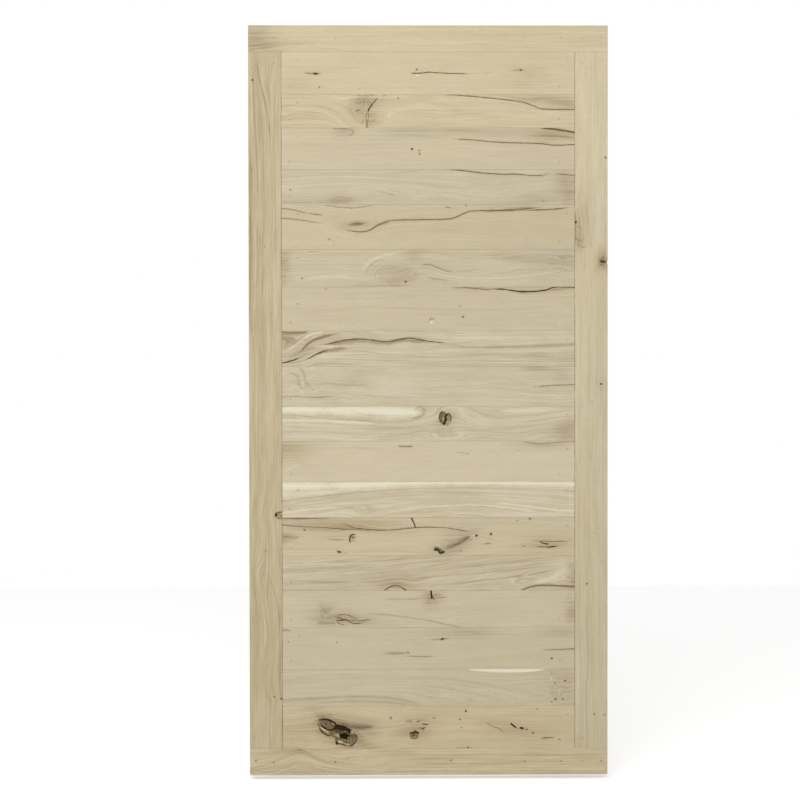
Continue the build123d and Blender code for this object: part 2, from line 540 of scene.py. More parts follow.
def pieceMarks(piece, rect, rng):
    small = smallMarks
    drawn = {"cracks": [], "veins": [], "spots": [], "patches": []}
    for width, depth, strength, *points in piece.get("cracks", ()):
        drawn["cracks"].append(makeStroke("dark", width, depth, strength, fromPhoto(points), rect, rng))
    for kind, width, strength, *points in piece.get("veins", ()):
        drawn["veins"].append(makeStroke(kind, width, 0, strength, fromPhoto(points), rect, rng))
    for kind, size, depth, strength, at, lean in piece.get("spots", ()):
        drawn["spots"].append(makeSpot(kind, size, depth, strength, fromPhoto([at])[0], lean, rng))
    for at in piece.get("specks", ()):
        size = rng.uniform(*small["speck"])
        shape = "dark", (size, size * 0.8), small["speckDepth"], small["speckShade"]
        drawn["spots"].append(makeSpot(*shape, fromPhoto([at])[0], 0, rng))
    nails = [fromPhoto([at])[0] for at in piece.get("nails", ())]
    if "nailPlan" in piece:
        plan = piece["nailPlan"]
        for upper, z in ((0, rect[3] - plan["fromJoint"] * mm), (1, rect[2] + plan["fromJoint"] * mm)):
            nails.append((rect[0] + plan["fromLeft"][upper] * mm, z))
            nails.append((rect[1] - plan["fromRight"][upper] * mm, z))
    for number, at in enumerate(nails):
        shift = rng.normal(0, small["nailShift"], 2)
        kind = "pale" if piece.get("putty") and number % 2 else "brown"
        strength = piece.get("nailShade", small["nailShade"]) * rng.uniform(0.7, 1.2)
        shape = kind, small["nail"], small["nailDepth"], strength
        drawn["spots"].append(makeSpot(*shape, np.array(at) + shift, 0, rng, small["nailSoft"]))
    for at, size, count, kinds in piece.get("mottles", ()):
        middle = fromPhoto([at])[0]
        for _ in range(count):
            angle, out = rng.uniform(0, 2 * math.pi), rng.uniform(0, 1) ** 0.5
            way = np.array((math.cos(angle), math.sin(angle)))
            place = middle + way * out * np.array(size) * pixelSize / 2
            bit = rng.uniform(*small["mottleLong"]), rng.uniform(*small["mottleShort"])
            lean = rng.uniform(-small["mottleLean"], small["mottleLean"])
            kind = str(rng.choice(kinds))
            strength = rng.uniform(*small["mottleShade"])
            drawn["spots"].append(makeSpot(kind, bit, small["mottleDepth"], strength, place, lean, rng))
    for kind, strength, at, size, lean in piece.get("patches", ()):
        side = np.array(size) * pixelSize / mm
        drawn["patches"].append(makeSpot(kind, side, 0, strength, fromPhoto([at])[0], lean, rng))
    return drawn


backSetup = {
    "mostCracks": 2,
    "veins": 2,
    "fromEnds": 50 * mm,
    "run": (60, 420),  # mm, least and most
    "drift": 2.6 * mm,
    "points": 5,
    "edge": 5 * mm,
    "crackWidth": (0.5, 1.3),
    "crackDepth": 3.0,
    "crackShade": (0.45, 0.8),
    "veinWidth": (4, 9),
    "veinShade": (0.12, 0.3),
}


def backMarks(rect, upright, rng):
    # a few plain cracks and soft brown lines for the back
    setup = backSetup
    drawn = {"cracks": [], "veins": [], "spots": [], "patches": []}
    cracks = rng.integers(0, setup["mostCracks"] + 1)
    fromEnds = 0 if upright else setup["fromEnds"]
    edge = setup["edge"]
    for number in range(cracks + setup["veins"]):
        x = rng.uniform(rect[0] + fromEnds, rect[1] - fromEnds)
        z = rng.uniform(rect[2], rect[3])
        run = rng.uniform(*setup["run"]) * mm
        drift = np.cumsum(rng.normal(0, setup["drift"], setup["points"]))
        steps = np.linspace(0, run, setup["points"])
        points = np.stack([x + drift, z + steps] if upright else [x + steps, z + drift], 1)
        points[:, 0] = np.clip(points[:, 0], rect[0] + edge, rect[1] - edge)
        points[:, 1] = np.clip(points[:, 1], rect[2] + edge, rect[3] - edge)
        if number < cracks:
            width, strength = rng.uniform(*setup["crackWidth"]), rng.uniform(*setup["crackShade"])
            crack = makeStroke("dark", width, setup["crackDepth"], strength, points, rect, rng)
            drawn["cracks"].append(crack)
        else:
            width, strength = rng.uniform(*setup["veinWidth"]), rng.uniform(*setup["veinShade"])
            drawn["veins"].append(makeStroke("brown", width, 0, strength, points, rect, rng))
    return drawn


toneSetup = {
    "broadDrift": (0.5, 0.14, 0.012),  # metres along and across, and how much lighter or darker
    "fineDrift": (0.12, 0.035, 0.009),
    # the joint colour is grime with painted shade, darkening the edges where the pieces meet
    "grimeAndShade": (0.35, 0.5, 0, 0),  # dark, brown, pale and grey in the joints
    "grimeAndShadeWaves": (37 * mm, 91 * mm, 230 * mm),
    "backRing": 0.9,  # the back is cut from other growth lines
    "flowRun": 80 * mm,  # shorter marks don't bend the grain
}


def toneDrift(along, across, wave, rng):
    longWave, shortWave, change = wave
    return change * ripple(along, across, longWave, shortWave, rng)


def woodTone(piece, drift, end):
    tone = np.zeros((len(drift), 4))
    tone[:, 0] = 0.5 + piece.get("light", 0.0) + drift
    tone[:, 1] = 0.5 + piece.get("warm", 0.0)
    tone[:, 2] = piece.get("figure", 0.7)
    tone[:, 3] = end
    return tone


bakeBands = {
    "margin": 0.01,
    "front": (0.01, 0.49),
    "back": (0.51, 0.83),
    "edge": (0.85, 0.99),
}


def bandMap(points, rect, upright, band):
    # a face laid into a band of the bake map, with the grain along it
    u = (points[:, 0] - rect[0]) / (rect[1] - rect[0])
    v = (points[:, 1] - rect[2]) / (rect[3] - rect[2])
    if upright:
        u, v = v, 1 - u
    low, high = band
    margin = bakeBands["margin"]
    return np.stack([margin + (1 - 2 * margin) * u, low + (high - low) * v], 1)


def bakeLayout(mesh, rect, upright, front, back, plain, rowCount):
    # the front, the back and the edge each have a band of their own
    frontMap = bandMap(front[0], rect, upright, bakeBands["front"])
    backMap = bandMap(back[0], rect, upright, bakeBands["back"])
    around = len(plain)
    steps = np.hypot(*np.diff(np.vstack([plain, plain[:1]]), axis=0).T)
    turn = np.concatenate([[0], np.cumsum(steps)])
    margin = bakeBands["margin"]
    turn = margin + (1 - 2 * margin) * turn / turn[-1]
    bands = np.linspace(*bakeBands["edge"], rowCount)
    maps = [frontMap[np.array(front[1]).ravel()]]
    for upper, lower in zip(bands, bands[1:]):
        quad = np.zeros((around, 4, 2))
        corners = (turn[:-1], upper), (turn[:-1], lower), (turn[1:], lower), (turn[1:], upper)
        for corner, (u, v) in enumerate(corners):
            quad[:, corner] = np.stack([u, np.full(around, v)], 1)
        maps.append(quad.reshape(-1, 2))
    maps.append(backMap[np.array([t[::-1] for t in back[1]]).ravel()])
    bakeMap = mesh.uv_layers.new(name="OFBake")
    bakeMap.data.foreach_set("uv", np.vstack(maps).astype(np.float32).ravel())


def dressPiece(piece, material):
    node = piece["node"]
    upright = piece.get("upright", False)
    rng = np.random.default_rng(piece["seed"])
    rect = faceOutline(node)
    eased = np.array(piece["eased"]) * mm
    pressed = np.array(piece["pressed"]) * meshSetup["press"]
    drawn = pieceMarks(piece, rect, rng)
    stepX, stepZ = meshSetup["gridLong"], meshSetup["gridShort"]
    if upright:
        stepX, stepZ = stepZ, stepX
    radii = [meshSetup["cornerRadius"] * corner for corner in piece.get("rounded", (0, 0, 0, 0))]
    inset = [max(r - meshSetup["arris"], 0) for r in radii]
    bite = piece.get("bite")
    fractions = sideFractions(rect, stepX, stepZ, drawn["cracks"], bite)

    # front face with its marks
    border = outlineLoop(rect, -eased, inset, fractions)
    around = len(border)
    onRight = border[:, 0] > rect[1] - eased[1] - meshSetup["near"]
    whole = border.copy()
    border[onRight, 0] -= biteDepth(bite, border[onRight, 1])
    inner = facePoints(rect, drawn, piece.get("fine", ()), stepX, stepZ)
    inner = inner[inner[:, 0] < rect[1] - eased[1] - meshSetup["room"] - biteDepth(bite, inner[:, 1])]
    face, faceTriangles = fillFace(border, inner)
    depth, marks = readMarks(face, drawn)
    along, across = face[:, (1, 0) if upright else (0, 1)].T
    flows = []
    for stroke in drawn["cracks"] + drawn["veins"]:
        path = stroke["path"][:, ::-1] if upright else stroke["path"]
        run, rise = np.ptp(path, axis=0)
        if run > toneSetup["flowRun"] and run > (6 if upright else 1.5) * rise:
            flows.append(path)
    knots = []
    for at, size, force in piece.get("knots", ()):
        long, short = np.array(size) * pixelSize / 2
        knots.append((*faceSpot(at, piece), long, short, force))
    ring = grainField(piece, along, across, flows, knots, rng)
    front = np.stack([face[:, 0], frontFace + depth, face[:, 1]], 1)

    # loops round the edge, down into the hidden tongue or groove and out to the back
    grow = piece.get("joinery", (0, 0, 0, 0))
    plain = outlineLoop(rect, pressed, radii, fractions)
    bitten = plain.copy()
    bitten[onRight, 0] -= biteDepth(bite, plain[onRight, 1])
    hidden = outlineLoop(rect, grow, radii, fractions)
    if "innerSide" in piece:
        side, reach = piece["innerSide"]
        level = rect[2] if side == "bottom" else rect[3]
        onSide = np.abs(hidden[:, 1] - level) < meshSetup["near"]
        between = onSide & (np.abs(plain[:, 0]) < boardReach)
        hidden[between, 1] += reach
    flat = np.hypot(*(hidden - plain).T) < meshSetup["flatSide"]
    hidden[flat] = plain[flat]
    half = meshSetup["tongueHalf"]
    levels = (
        (bitten, np.maximum(frontFace + meshSetup["easeDepth"], front[:around, 1])), (bitten, -half),
        (hidden, -half), (hidden, half), (plain, half), (plain, backFace - meshSetup["easeDepth"]),
    )
    loops = []
    for loop, depthAt in levels:
        loops.append(np.stack([loop[:, 0], np.zeros(around) + depthAt, loop[:, 1]], 1))

    # back face
    backDrawn = backMarks(rect, upright, rng)
    grid = meshSetup["backGrid"]
    backPoints, backTriangles = fillFace(whole, facePoints(rect, backDrawn, (), grid, 0.7 * grid))
    backDepth, backChannels = readMarks(backPoints, backDrawn)
    back = np.stack([backPoints[:, 0], backFace - backDepth, backPoints[:, 1]], 1)
    backAlong, backAcross = backPoints[:, (1, 0) if upright else (0, 1)].T
    backRing = grainField({"upright": upright}, backAlong, backAcross, [], [], rng)
    backRing += toneSetup["backRing"]

    # one closed mesh
    vertices = np.vstack([front] + loops + [back])
    startBack = len(front) + len(loops) * around
    rows = [np.arange(around)]
    for k in range(len(loops)):
        rows.append(len(front) + k * around + np.arange(around))
    rows.append(startBack + np.arange(around))
    faces = [list(t) for t in faceTriangles]
    for upper, lower in zip(rows, rows[1:]):
        after = np.roll(np.arange(around), -1)
        faces += np.stack([upper, lower, lower[after], upper[after]], 1).tolist()
    faces += [[startBack + i for i in reversed(t)] for t in backTriangles]
    mesh = bpy.data.meshes.new(node + "_oak")
    mesh.from_pydata(vertices.tolist(), [], faces)
    mesh.polygons.foreach_set("use_smooth", np.ones(len(faces), bool))
    mesh.set_sharp_from_angle(angle=meshSetup["sharpFrom"])

    # grain, marks and tone for the material
    edgeAlong = along[:around]
    x, z = plain.T
    side = np.stack([z - rect[2], rect[1] - x, rect[3] - z, x - rect[0]], 1).argmin(1)
    ends = (side % 2 == 0 if upright else side % 2 == 1).astype(float)
    grain = [np.stack([along, ring, np.full(len(face), piece["seed"])], 1)]
    channels = [marks]
    drift = toneDrift(along, across, toneSetup["broadDrift"], rng)
    drift += toneDrift(along, across, toneSetup["fineDrift"], rng)
    # painted light: fade makes a piece lighter towards the top and darker towards the bottom, the other
    # way round when negative
    drift += piece.get("fade", 0.0) * (across if not upright else along - along.mean())
    tones = [woodTone(piece, drift, 0)]
    # grime and painted shade gather unevenly along the joints, darkening the edges where the pieces meet
    uneven = np.clip(0.7 + 0.4 * wobble(x + z, toneSetup["grimeAndShadeWaves"], rng), 0.1, 1.4)
    grimeAndShade = np.outer(np.array(piece["joints"])[side] * uneven, toneSetup["grimeAndShade"])
    for loop in loops:
        deep = loop[:, 1] - frontFace
        arc = ring[:around] + 0.8 * deep + ends * 9 * (deep - 0.01) ** 2
        grain.append(np.stack([edgeAlong + ends * deep * 0.3, arc, np.full(around, piece["seed"])], 1))
        channels.append(np.maximum(marks[:around], grimeAndShade))
        tones.append(woodTone(piece, drift[:around], ends))
    grain.append(np.stack([backAlong, backRing, np.full(len(back), piece["seed"])], 1))
    channels.append(backChannels)
    backDrift = toneDrift(backAlong, backAcross, toneSetup["broadDrift"], rng)
    tones.append(woodTone(piece, backDrift, 0))
    for name, kind, field, values in (
        ("grain", "FLOAT_VECTOR", "vector", grain),
        ("marks", "FLOAT_COLOR", "color", channels),
        ("tone", "FLOAT_COLOR", "color", tones),
    ):
        layer = mesh.attributes.new(name, kind, "POINT")
        layer.data.foreach_set(field, np.vstack(values).astype(np.float32).ravel())

    bakeLayout(mesh, rect, upright, (face, faceTriangles), (backPoints, backTriangles), plain, len(rows))

    # the loops meet on the sides that have no tongue or groove
    shape = bmesh.new()
    shape.from_mesh(mesh)
    bmesh.ops.remove_doubles(shape, verts=shape.verts, dist=meshSetup["weld"])
    shape.to_mesh(mesh)
    shape.free()

    mesh.materials.append(material)
    oak = bpy.data.objects.new(node + "_oak", mesh)
    bpy.context.scene.collection.objects.link(oak)
    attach(oak, "root")
    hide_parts(node)
    counts = len(drawn["cracks"]), "cracks,", len(drawn["spots"]), "spots"
    print(node, len(mesh.polygons), "faces,", *counts)
    return oak


# Oak: node groups for the figure and the marks, then one material for the boards and one for the frame

def fromScreen(red, green, blue):
    # a screen colour of 0 to 255 as Blender's own
    return *(((c / 255 + 0.055) / 1.055) ** 2.4 for c in (red, green, blue)), 1.0


def newGroup(name, inputs, outputs):
    group = bpy.data.node_groups.new(name, "ShaderNodeTree")
    for label, kind, value in inputs:
        socket = group.interface.new_socket(label, in_out="INPUT", socket_type=kind)
        if value is not None:
            socket.default_value = value
    for label, kind in outputs:
        group.interface.new_socket(label, in_out="OUTPUT", socket_type=kind)
    start = group.nodes.new("NodeGroupInput")
    end = group.nodes.new("NodeGroupOutput")
    return group, start.outputs, end.inputs


def plug(tree, socket, value):
    # a value or another node's output into a socket
    if isinstance(value, bpy.types.NodeSocket):
        tree.links.new(value, socket)
    else:
        socket.default_value = value


def mathNode(tree, operation, first, second=0.0, third=0.0, clamp=False):
    node = tree.nodes.new("ShaderNodeMath")
    node.operation = operation
    node.use_clamp = clamp
    for socket, value in zip(node.inputs, (first, second, third)):
        plug(tree, socket, value)
    return node.outputs[0]


def stretch(tree, vector, scale):
    node = tree.nodes.new("ShaderNodeVectorMath")
    node.operation = "MULTIPLY"
    plug(tree, node.inputs[0], vector)
    node.inputs[1].default_value = scale
    return node.outputs[0]


def noiseNode(tree, vector, detail, rough=0.5):
    node = tree.nodes.new("ShaderNodeTexNoise")
    plug(tree, node.inputs["Vector"], vector)
    node.inputs["Scale"].default_value = 1.0
    node.inputs["Detail"].default_value = detail
    node.inputs["Roughness"].default_value = rough
    return node.outputs["Fac"]


def rangeNode(tree, value, low, high, toLow=0.0, toHigh=1.0):
    node = tree.nodes.new("ShaderNodeMapRange")
    for socket, item in zip(node.inputs, (value, low, high, toLow, toHigh)):
        plug(tree, socket, item)
    return node.outputs[0]


def mixColour(tree, factor, first, second, blend="MIX"):
    node = tree.nodes.new("ShaderNodeMix")
    node.data_type = "RGBA"
    node.blend_type = blend
    plug(tree, node.inputs["Factor"], factor)
    plug(tree, node.inputs[6], first)
    plug(tree, node.inputs[7], second)
    return node.outputs[2]


def oakFigureGroup():
    # growth lines, streaks, fibre and pores from the grain stored on the mesh
    group, given, out = newGroup(
        "oakFigure",
        [
            ("Grain", "NodeSocketVector", None), ("Contrast", "NodeSocketFloat", 1.0),
            ("Line Spacing", "NodeSocketFloat", 6.0), ("End Grain", "NodeSocketFloat", 0.0),
        ],
        [
            ("Figure", "NodeSocketFloat"), ("Streaks", "NodeSocketFloat"),
            ("Fibre", "NodeSocketFloat"), ("Pores", "NodeSocketFloat"),
        ],
    )
    grain = given["Grain"]
    bands = noiseNode(group, stretch(group, grain, (1.2, 42, 3.1)), 2.0)
    streaks = noiseNode(group, stretch(group, grain, (2.6, 190, 5.3)), 3.0, 0.62)
    fibre = noiseNode(group, stretch(group, grain, (14, 900, 7.7)), 2.0, 0.6)
    clouds = noiseNode(group, stretch(group, grain, (9, 70, 2.7)), 3.0, 0.6)
    part = group.nodes.new("ShaderNodeSeparateXYZ")
    plug(group, part.inputs[0], grain)
    turns = mathNode(group, "MULTIPLY", part.outputs[1], 2000 * math.pi)
    turns = mathNode(group, "DIVIDE", turns, given["Line Spacing"])
    phase = mathNode(group, "MULTIPLY_ADD", bands, 15.0, turns)
    crest = mathNode(group, "MAXIMUM", mathNode(group, "SINE", phase), 0.0)
    lines = mathNode(group, "POWER", crest, 3.0)
    lines = mathNode(group, "MULTIPLY", lines, rangeNode(group, streaks, 0.38, 0.62))
    total = 0.0
    for layer, weight in ((streaks, 1.15), (bands, 0.6), (fibre, 0.8), (clouds, 0.7)):
        total = mathNode(group, "MULTIPLY_ADD", mathNode(group, "SUBTRACT", layer, 0.5), weight, total)
    total = mathNode(group, "MULTIPLY_ADD", lines, -0.3, total)
    figure = mathNode(group, "MULTIPLY_ADD", total, given["Contrast"], 0.55, clamp=True)
    plug(group, out["Figure"], figure)
    plug(group, out["Streaks"], streaks)
    plug(group, out["Fibre"], fibre)
    dashes = noiseNode(group, stretch(group, grain, (55, 1900, 2.3)), 1.0)
    pores = rangeNode(group, dashes, 0.62, 0.72)
    pores = mathNode(group, "MULTIPLY", pores, rangeNode(group, bands, 0.42, 0.6))
    ends = mathNode(group, "MULTIPLY_ADD", given["End Grain"], 0.5, 1.0)
    plug(group, out["Pores"], mathNode(group, "MULTIPLY", pores, ends, clamp=True))
    return group


def oakMarksGroup():
    # lays the sapwood, grey and brown stains and the dark of the cracks over the wood; that dark is
    # partly painted shade
    group, given, out = newGroup(
        "oakMarks",
        [
            ("Wood", "NodeSocketColor", None), ("Marks", "NodeSocketColor", None),
            ("Grey Mark", "NodeSocketFloat", 0.0), ("Streaks", "NodeSocketFloat", 0.5),
            ("Fibre", "NodeSocketFloat", 0.5), ("Sapwood", "NodeSocketColor", None),
            ("Grey", "NodeSocketColor", None), ("Brown", "NodeSocketColor", None),
            ("Hollow", "NodeSocketColor", None),
        ],
        [("Color", "NodeSocketColor"), ("Depth", "NodeSocketFloat")],
    )
    part = group.nodes.new("ShaderNodeSeparateColor")
    plug(group, part.inputs[0], given["Marks"])
    # weak stains break into streaks along the grain, strong ones stay whole
    broken = rangeNode(group, given["Streaks"], 0.38, 0.62, 1.4, 0.6)
    colour = given["Wood"]
    for mask, tint in (
        (part.outputs[2], given["Sapwood"]),
        (given["Grey Mark"], given["Grey"]),
        (part.outputs[1], given["Brown"]),
    ):
        whole = rangeNode(group, mask, 0.45, 0.8)
        share = mathNode(group, "MULTIPLY_ADD", mathNode(group, "SUBTRACT", 1.0, broken), whole, broken)
        colour = mixColour(group, mathNode(group, "MULTIPLY", mask, share, clamp=True), colour, tint)
    rough = rangeNode(group, given["Fibre"], 0.3, 0.7, 0.88, 1.08)
    dark = mathNode(group, "MULTIPLY", part.outputs[0], rough, clamp=True)
    plug(group, out["Color"], mixColour(group, dark, colour, given["Hollow"]))
    plug(group, out["Depth"], dark)
    return group


oakFigure = oakFigureGroup()
oakMarks = oakMarksGroup()


def placeGroup(tree, group, values):
    node = tree.nodes.new("ShaderNodeGroup")
    node.node_tree = group
    for label, value in values.items():
        plug(tree, node.inputs[label], value)
    return node.outputs


def oakMaterial(name, finish):
    material = bpy.data.materials.new(name)
    material.use_nodes = True
    tree = material.node_tree
    shader = tree.nodes["Principled BSDF"]
    stored = {}
    for label in ("grain", "marks", "tone"):
        stored[label] = tree.nodes.new("ShaderNodeAttribute")
        stored[label].attribute_name = label
    tone = tree.nodes.new("ShaderNodeSeparateColor")
    tree.links.new(stored["tone"].outputs["Color"], tone.inputs[0])
    endGrain = stored["tone"].outputs["Alpha"]
    figure = placeGroup(tree, oakFigure, {
        "Grain": stored["grain"].outputs["Vector"], "Contrast": tone.outputs[2],
        "Line Spacing": finish["lineSpacing"], "End Grain": endGrain,
    })
    ramp = tree.nodes.new("ShaderNodeValToRGB")
    tree.links.new(figure["Figure"], ramp.inputs[0])
    for place, colour in finish["wood"][1:-1]:
        ramp.color_ramp.elements.new(place)
    for element, (place, colour) in zip(ramp.color_ramp.elements, finish["wood"]):
        element.position = place
        element.color = fromScreen(*colour)
    wood = ramp.outputs[0]
    light = mathNode(tree, "ADD", tone.outputs[0], 0.5)
    warmth = tree.nodes.new("ShaderNodeCombineColor")
    warm = mathNode(tree, "SUBTRACT", tone.outputs[1], 0.5)
    plug(tree, warmth.inputs[0], mathNode(tree, "MULTIPLY_ADD", warm, 0.5, light))
    plug(tree, warmth.inputs[1], light)
    plug(tree, warmth.inputs[2], mathNode(tree, "MULTIPLY_ADD", warm, -1.0, light))
    wood = mixColour(tree, 1.0, wood, warmth.outputs[0], "MULTIPLY")
    pores = mathNode(tree, "MULTIPLY", figure["Pores"], finish["pores"])
    wood = mixColour(tree, pores, wood, fromScreen(*finish["poreTint"]))
    endShare = mathNode(tree, "MULTIPLY", endGrain, 0.45)
    wood = mixColour(tree, endShare, wood, fromScreen(*finish["endTint"]))
    marked = placeGroup(tree, oakMarks, {
        "Wood": wood, "Marks": stored["marks"].outputs["Color"],
        "Grey Mark": stored["marks"].outputs["Alpha"],
        "Streaks": figure["Streaks"], "Fibre": figure["Fibre"],
        "Sapwood": fromScreen(*finish["sapwood"]), "Grey": fromScreen(*finish["grey"]),
        "Brown": fromScreen(*finish["brown"]), "Hollow": fromScreen(*finish["hollow"]),
    })
    tree.links.new(marked["Color"], shader.inputs["Base Color"])
    planed = rangeNode(tree, figure["Figure"], 0.0, 1.0, 0.72, 0.58)
    plug(tree, shader.inputs["Roughness"], mathNode(tree, "MAXIMUM", planed, marked["Depth"]))
    shader.inputs["Specular IOR Level"].default_value = 0.3
    relief = mathNode(tree, "MULTIPLY", figure["Figure"], 0.5)
    relief = mathNode(tree, "MULTIPLY_ADD", figure["Pores"], -0.7, relief)
    relief = mathNode(tree, "MULTIPLY_ADD", figure["Fibre"], 0.25, relief)
    bump = tree.nodes.new("ShaderNodeBump")
    bump.inputs["Strength"].default_value = finish["relief"]
    bump.inputs["Distance"].default_value = 0.4 * mm
    plug(tree, bump.inputs["Height"], relief)
    tree.links.new(bump.outputs[0], shader.inputs["Normal"])
    return material


boardOak = oakMaterial("boardOak", {
    "wood": [
        (0.0, (166, 148, 114)), (0.35, (190, 175, 143)),
        (0.58, (203, 190, 160)), (1.0, (222, 212, 185)),
    ],
    "lineSpacing": 6.5,  # mm
    "pores": 0.35,
    "poreTint": (150, 128, 94),
    "endTint": (172, 150, 114),
    "sapwood": (226, 220, 196),
    "grey": (140, 128, 104),
    "brown": (128, 101, 55),
    # hollow: the dark of cracks and pits, partly painted shade
    "hollow": (46, 34, 9),
    "relief": 0.5,
})
frameOak = oakMaterial("frameOak", {
    "wood": [
        (0.0, (163, 145, 108)), (0.35, (188, 173, 139)),
        (0.58, (202, 188, 156)), (1.0, (219, 208, 179)),
    ],
    "lineSpacing": 5.5,  # mm
    "pores": 0.4,
    "poreTint": (146, 124, 88),
    "endTint": (170, 147, 110),
    "sapwood": (222, 214, 188),
    "grey": (140, 128, 102),
    "brown": (128, 100, 54),
    # hollow: the dark of cracks and pits, partly painted shade
    "hollow": (46, 34, 9),
    "relief": 0.5,
})
print("oak materials ready")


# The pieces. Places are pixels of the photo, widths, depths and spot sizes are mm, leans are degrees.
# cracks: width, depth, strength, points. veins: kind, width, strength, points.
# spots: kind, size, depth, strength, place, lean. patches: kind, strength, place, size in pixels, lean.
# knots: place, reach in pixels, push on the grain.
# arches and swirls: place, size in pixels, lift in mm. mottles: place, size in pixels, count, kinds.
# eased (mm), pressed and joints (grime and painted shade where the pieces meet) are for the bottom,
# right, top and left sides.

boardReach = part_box("board_01")[1][0] - meshSetup["endTongue"]
endReach = meshSetup["endTongue"] + 0.3 * mm
boardJoinery = (-meshSetup["groove"], endReach, meshSetup["tongue"], endReach)
boardNails = {"fromLeft": (46, 24), "fromRight": (21, 43), "fromJoint": 23}  # mm, upper and lower nail

topRail = {
    "node": "top_rail", "seed": 31, "light": 0.01, "warm": 0.005, "figure": 0.4,
    "rounded": (0, 0, 1, 1),
    "eased": (0.35, 0.8, 0.8, 0.8), "pressed": (1, 0, 0, 0), "joints": (0.35, 0.1, 0.1, 0.1),
    "innerSide": ("bottom", meshSetup["groove"]),
    "veins": [
        ("brown", 5, 0.15, (249, 49), (268, 47), (290, 44), (330, 43.5)),
        ("brown", 3, 0.18, (300, 47.5), (312, 46), (324, 48.5), (345, 49.5)),
        ("brown", 3, 0.16, (380, 34), (430, 33), (500, 35), (560, 33.5)),
        ("pale", 4, 0.2, (420, 44), (480, 42), (560, 44), (606, 43)),
    ],
    "patches": [("grey", 0.46, (254, 37), (44, 40), 8), ("brown", 0.26, (258, 45), (44, 14), 0)],
    "arches": [((318, 52), (40, 12), 5)],
    "nails": [
        (256, 38), (274.5, 38), (335, 38), (450.5, 37.5), (524, 37.5), (561, 37.5), (582.5, 38.7),
        (601, 37.5),
    ],
}
dressPiece(topRail, frameOak)

bottomRail = {
    "node": "bottom_rail", "seed": 32, "light": -0.008, "warm": 0.01, "figure": 0.85,
    "rounded": (1, 1, 0, 0), "nailShade": 0.85,
    "eased": (0.8, 0.8, 0.35, 0.8), "pressed": (0, 0, 1, 0), "joints": (0.1, 0.1, 0.4, 0.1),
    "innerSide": ("top", meshSetup["tongue"]),
    "veins": [
        ("brown", 3, 0.38, (262, 771), (285, 766), (300, 761), (318, 766), (345, 771)),
        ("brown", 3, 0.38, (275, 773), (292, 769), (303, 766.5), (318, 770), (335, 773)),
        ("brown", 3, 0.15, (258, 764), (280, 760), (299, 755), (320, 760), (360, 766)),
        ("brown", 3, 0.3, (250, 769), (268, 764), (284, 757), (299, 752), (314, 757), (330, 763),
         (352, 768)),
        ("brown", 3, 0.25, (250, 772), (400, 771.5), (606, 771)),
    ],
    "spots": [("brown", (26, 3.4), 0.5, 0.6, (300, 749.8), 0)],
    "patches": [("brown", 0.26, (298, 751), (56, 8), 0)],
    "arches": [((299, 768), (44, 44), 9)],
    "nails": [
        (256, 762), (274.5, 762), (335, 762), (450.5, 761), (524.5, 760.8), (561, 760.8), (582, 761),
        (601.5, 760),
    ],
}
dressPiece(bottomRail, frameOak)

leftStile = {
    # fade paints a slight light gradient on this stile, darker towards the top
    "node": "left_stile", "seed": 33, "light": -0.12, "warm": 0.03, "fade": -0.01, "figure": 0.85,
    "upright": True, "wave": 0.6,
    "eased": (0.35, 0.7, 0.35, 0.8), "pressed": (1, 1, 1, 0), "joints": (0.4, 1.8, 0.4, 0.1),
    "joinery": (0, -meshSetup["endGroove"], 0, 0),
    "fine": [(272, 508, 282, 522)],
    "cracks": [
        (2.7, 4, 0.82, (277.4, 512.6), (276, 513.6), (275.4, 515.6), (276.4, 517.6)),
        (2.8, 3, 0.75, (276, 512.6), (279.4, 512.2), (282.5, 512.4)),
        (1.4, 3, 0.7, (276.4, 517.8), (278.6, 518.8), (281.5, 518.8)),
    ],
    "veins": [
        ("brown", 4, 0.45, (256, 54), (259, 78), (265, 102), (269, 126), (271, 150)),
        ("brown", 5, 0.26, (253, 60), (254, 110), (257, 160), (258, 205)),
        ("brown", 3, 0.12, (277.5, 53), (276, 90), (274, 130), (275, 180)),
        ("brown", 8, 0.45, (250.5, 150), (250.4, 220), (250.4, 290), (251, 345)),
        ("brown", 3, 0.2, (263, 130), (264, 200), (262, 270), (264, 330)),
        ("pale", 5, 0.25, (273, 250), (275, 310), (272, 370), (274, 420)),
        ("brown", 3, 0.32, (265, 566), (272, 585), (277, 603), (279.5, 620), (278.5, 642)),
        ("brown", 3, 0.14, (258, 575), (264, 605), (268, 635), (266, 665)),
        ("brown", 3, 0.18, (271, 655), (264, 674), (266, 694), (273, 704), (277, 712)),
        ("brown", 3, 0.22, (275, 650), (272, 674), (273, 692), (277, 700)),
        ("brown", 6, 0.3, (257, 215), (258.4, 260), (257, 300), (258, 340)),
        ("pale", 6, 0.3, (254, 215), (255, 262), (254, 320)),
    ],
    "spots": [
        ("dark", (6, 4), 3.0, 0.85, (252.5, 80), 90),
        ("brown", (17, 18), 3.0, 0.6, (278.6, 515.6), 0), ("bare", (7, 4), 0, 0.6, (279.2, 516.4), -25),
        ("dark", (6, 8), 6.0, 1.0, (276.3, 514.8), 0),
        ("dark", (4, 3), 1.5, 0.8, (274.5, 696.8), 0), ("dark", (5, 4), 2.0, 0.9, (281.2, 698.8), 0),
    ],
    "specks": [(264.5, 246.5), (266, 551), (281, 66)],
    "patches": [("brown", 0.22, (252, 250), (8, 200), 0), ("grey", 0.2, (256, 110), (14, 110), 0)],
    "knots": [((279, 515), (30, 44), 0.35)],
    "arches": [((270, 676), (30, 80), -3)],
    "nails": [(255, 64), (274, 63), (268, 406), (255, 738), (274, 738)],
}
dressPiece(leftStile, frameOak)

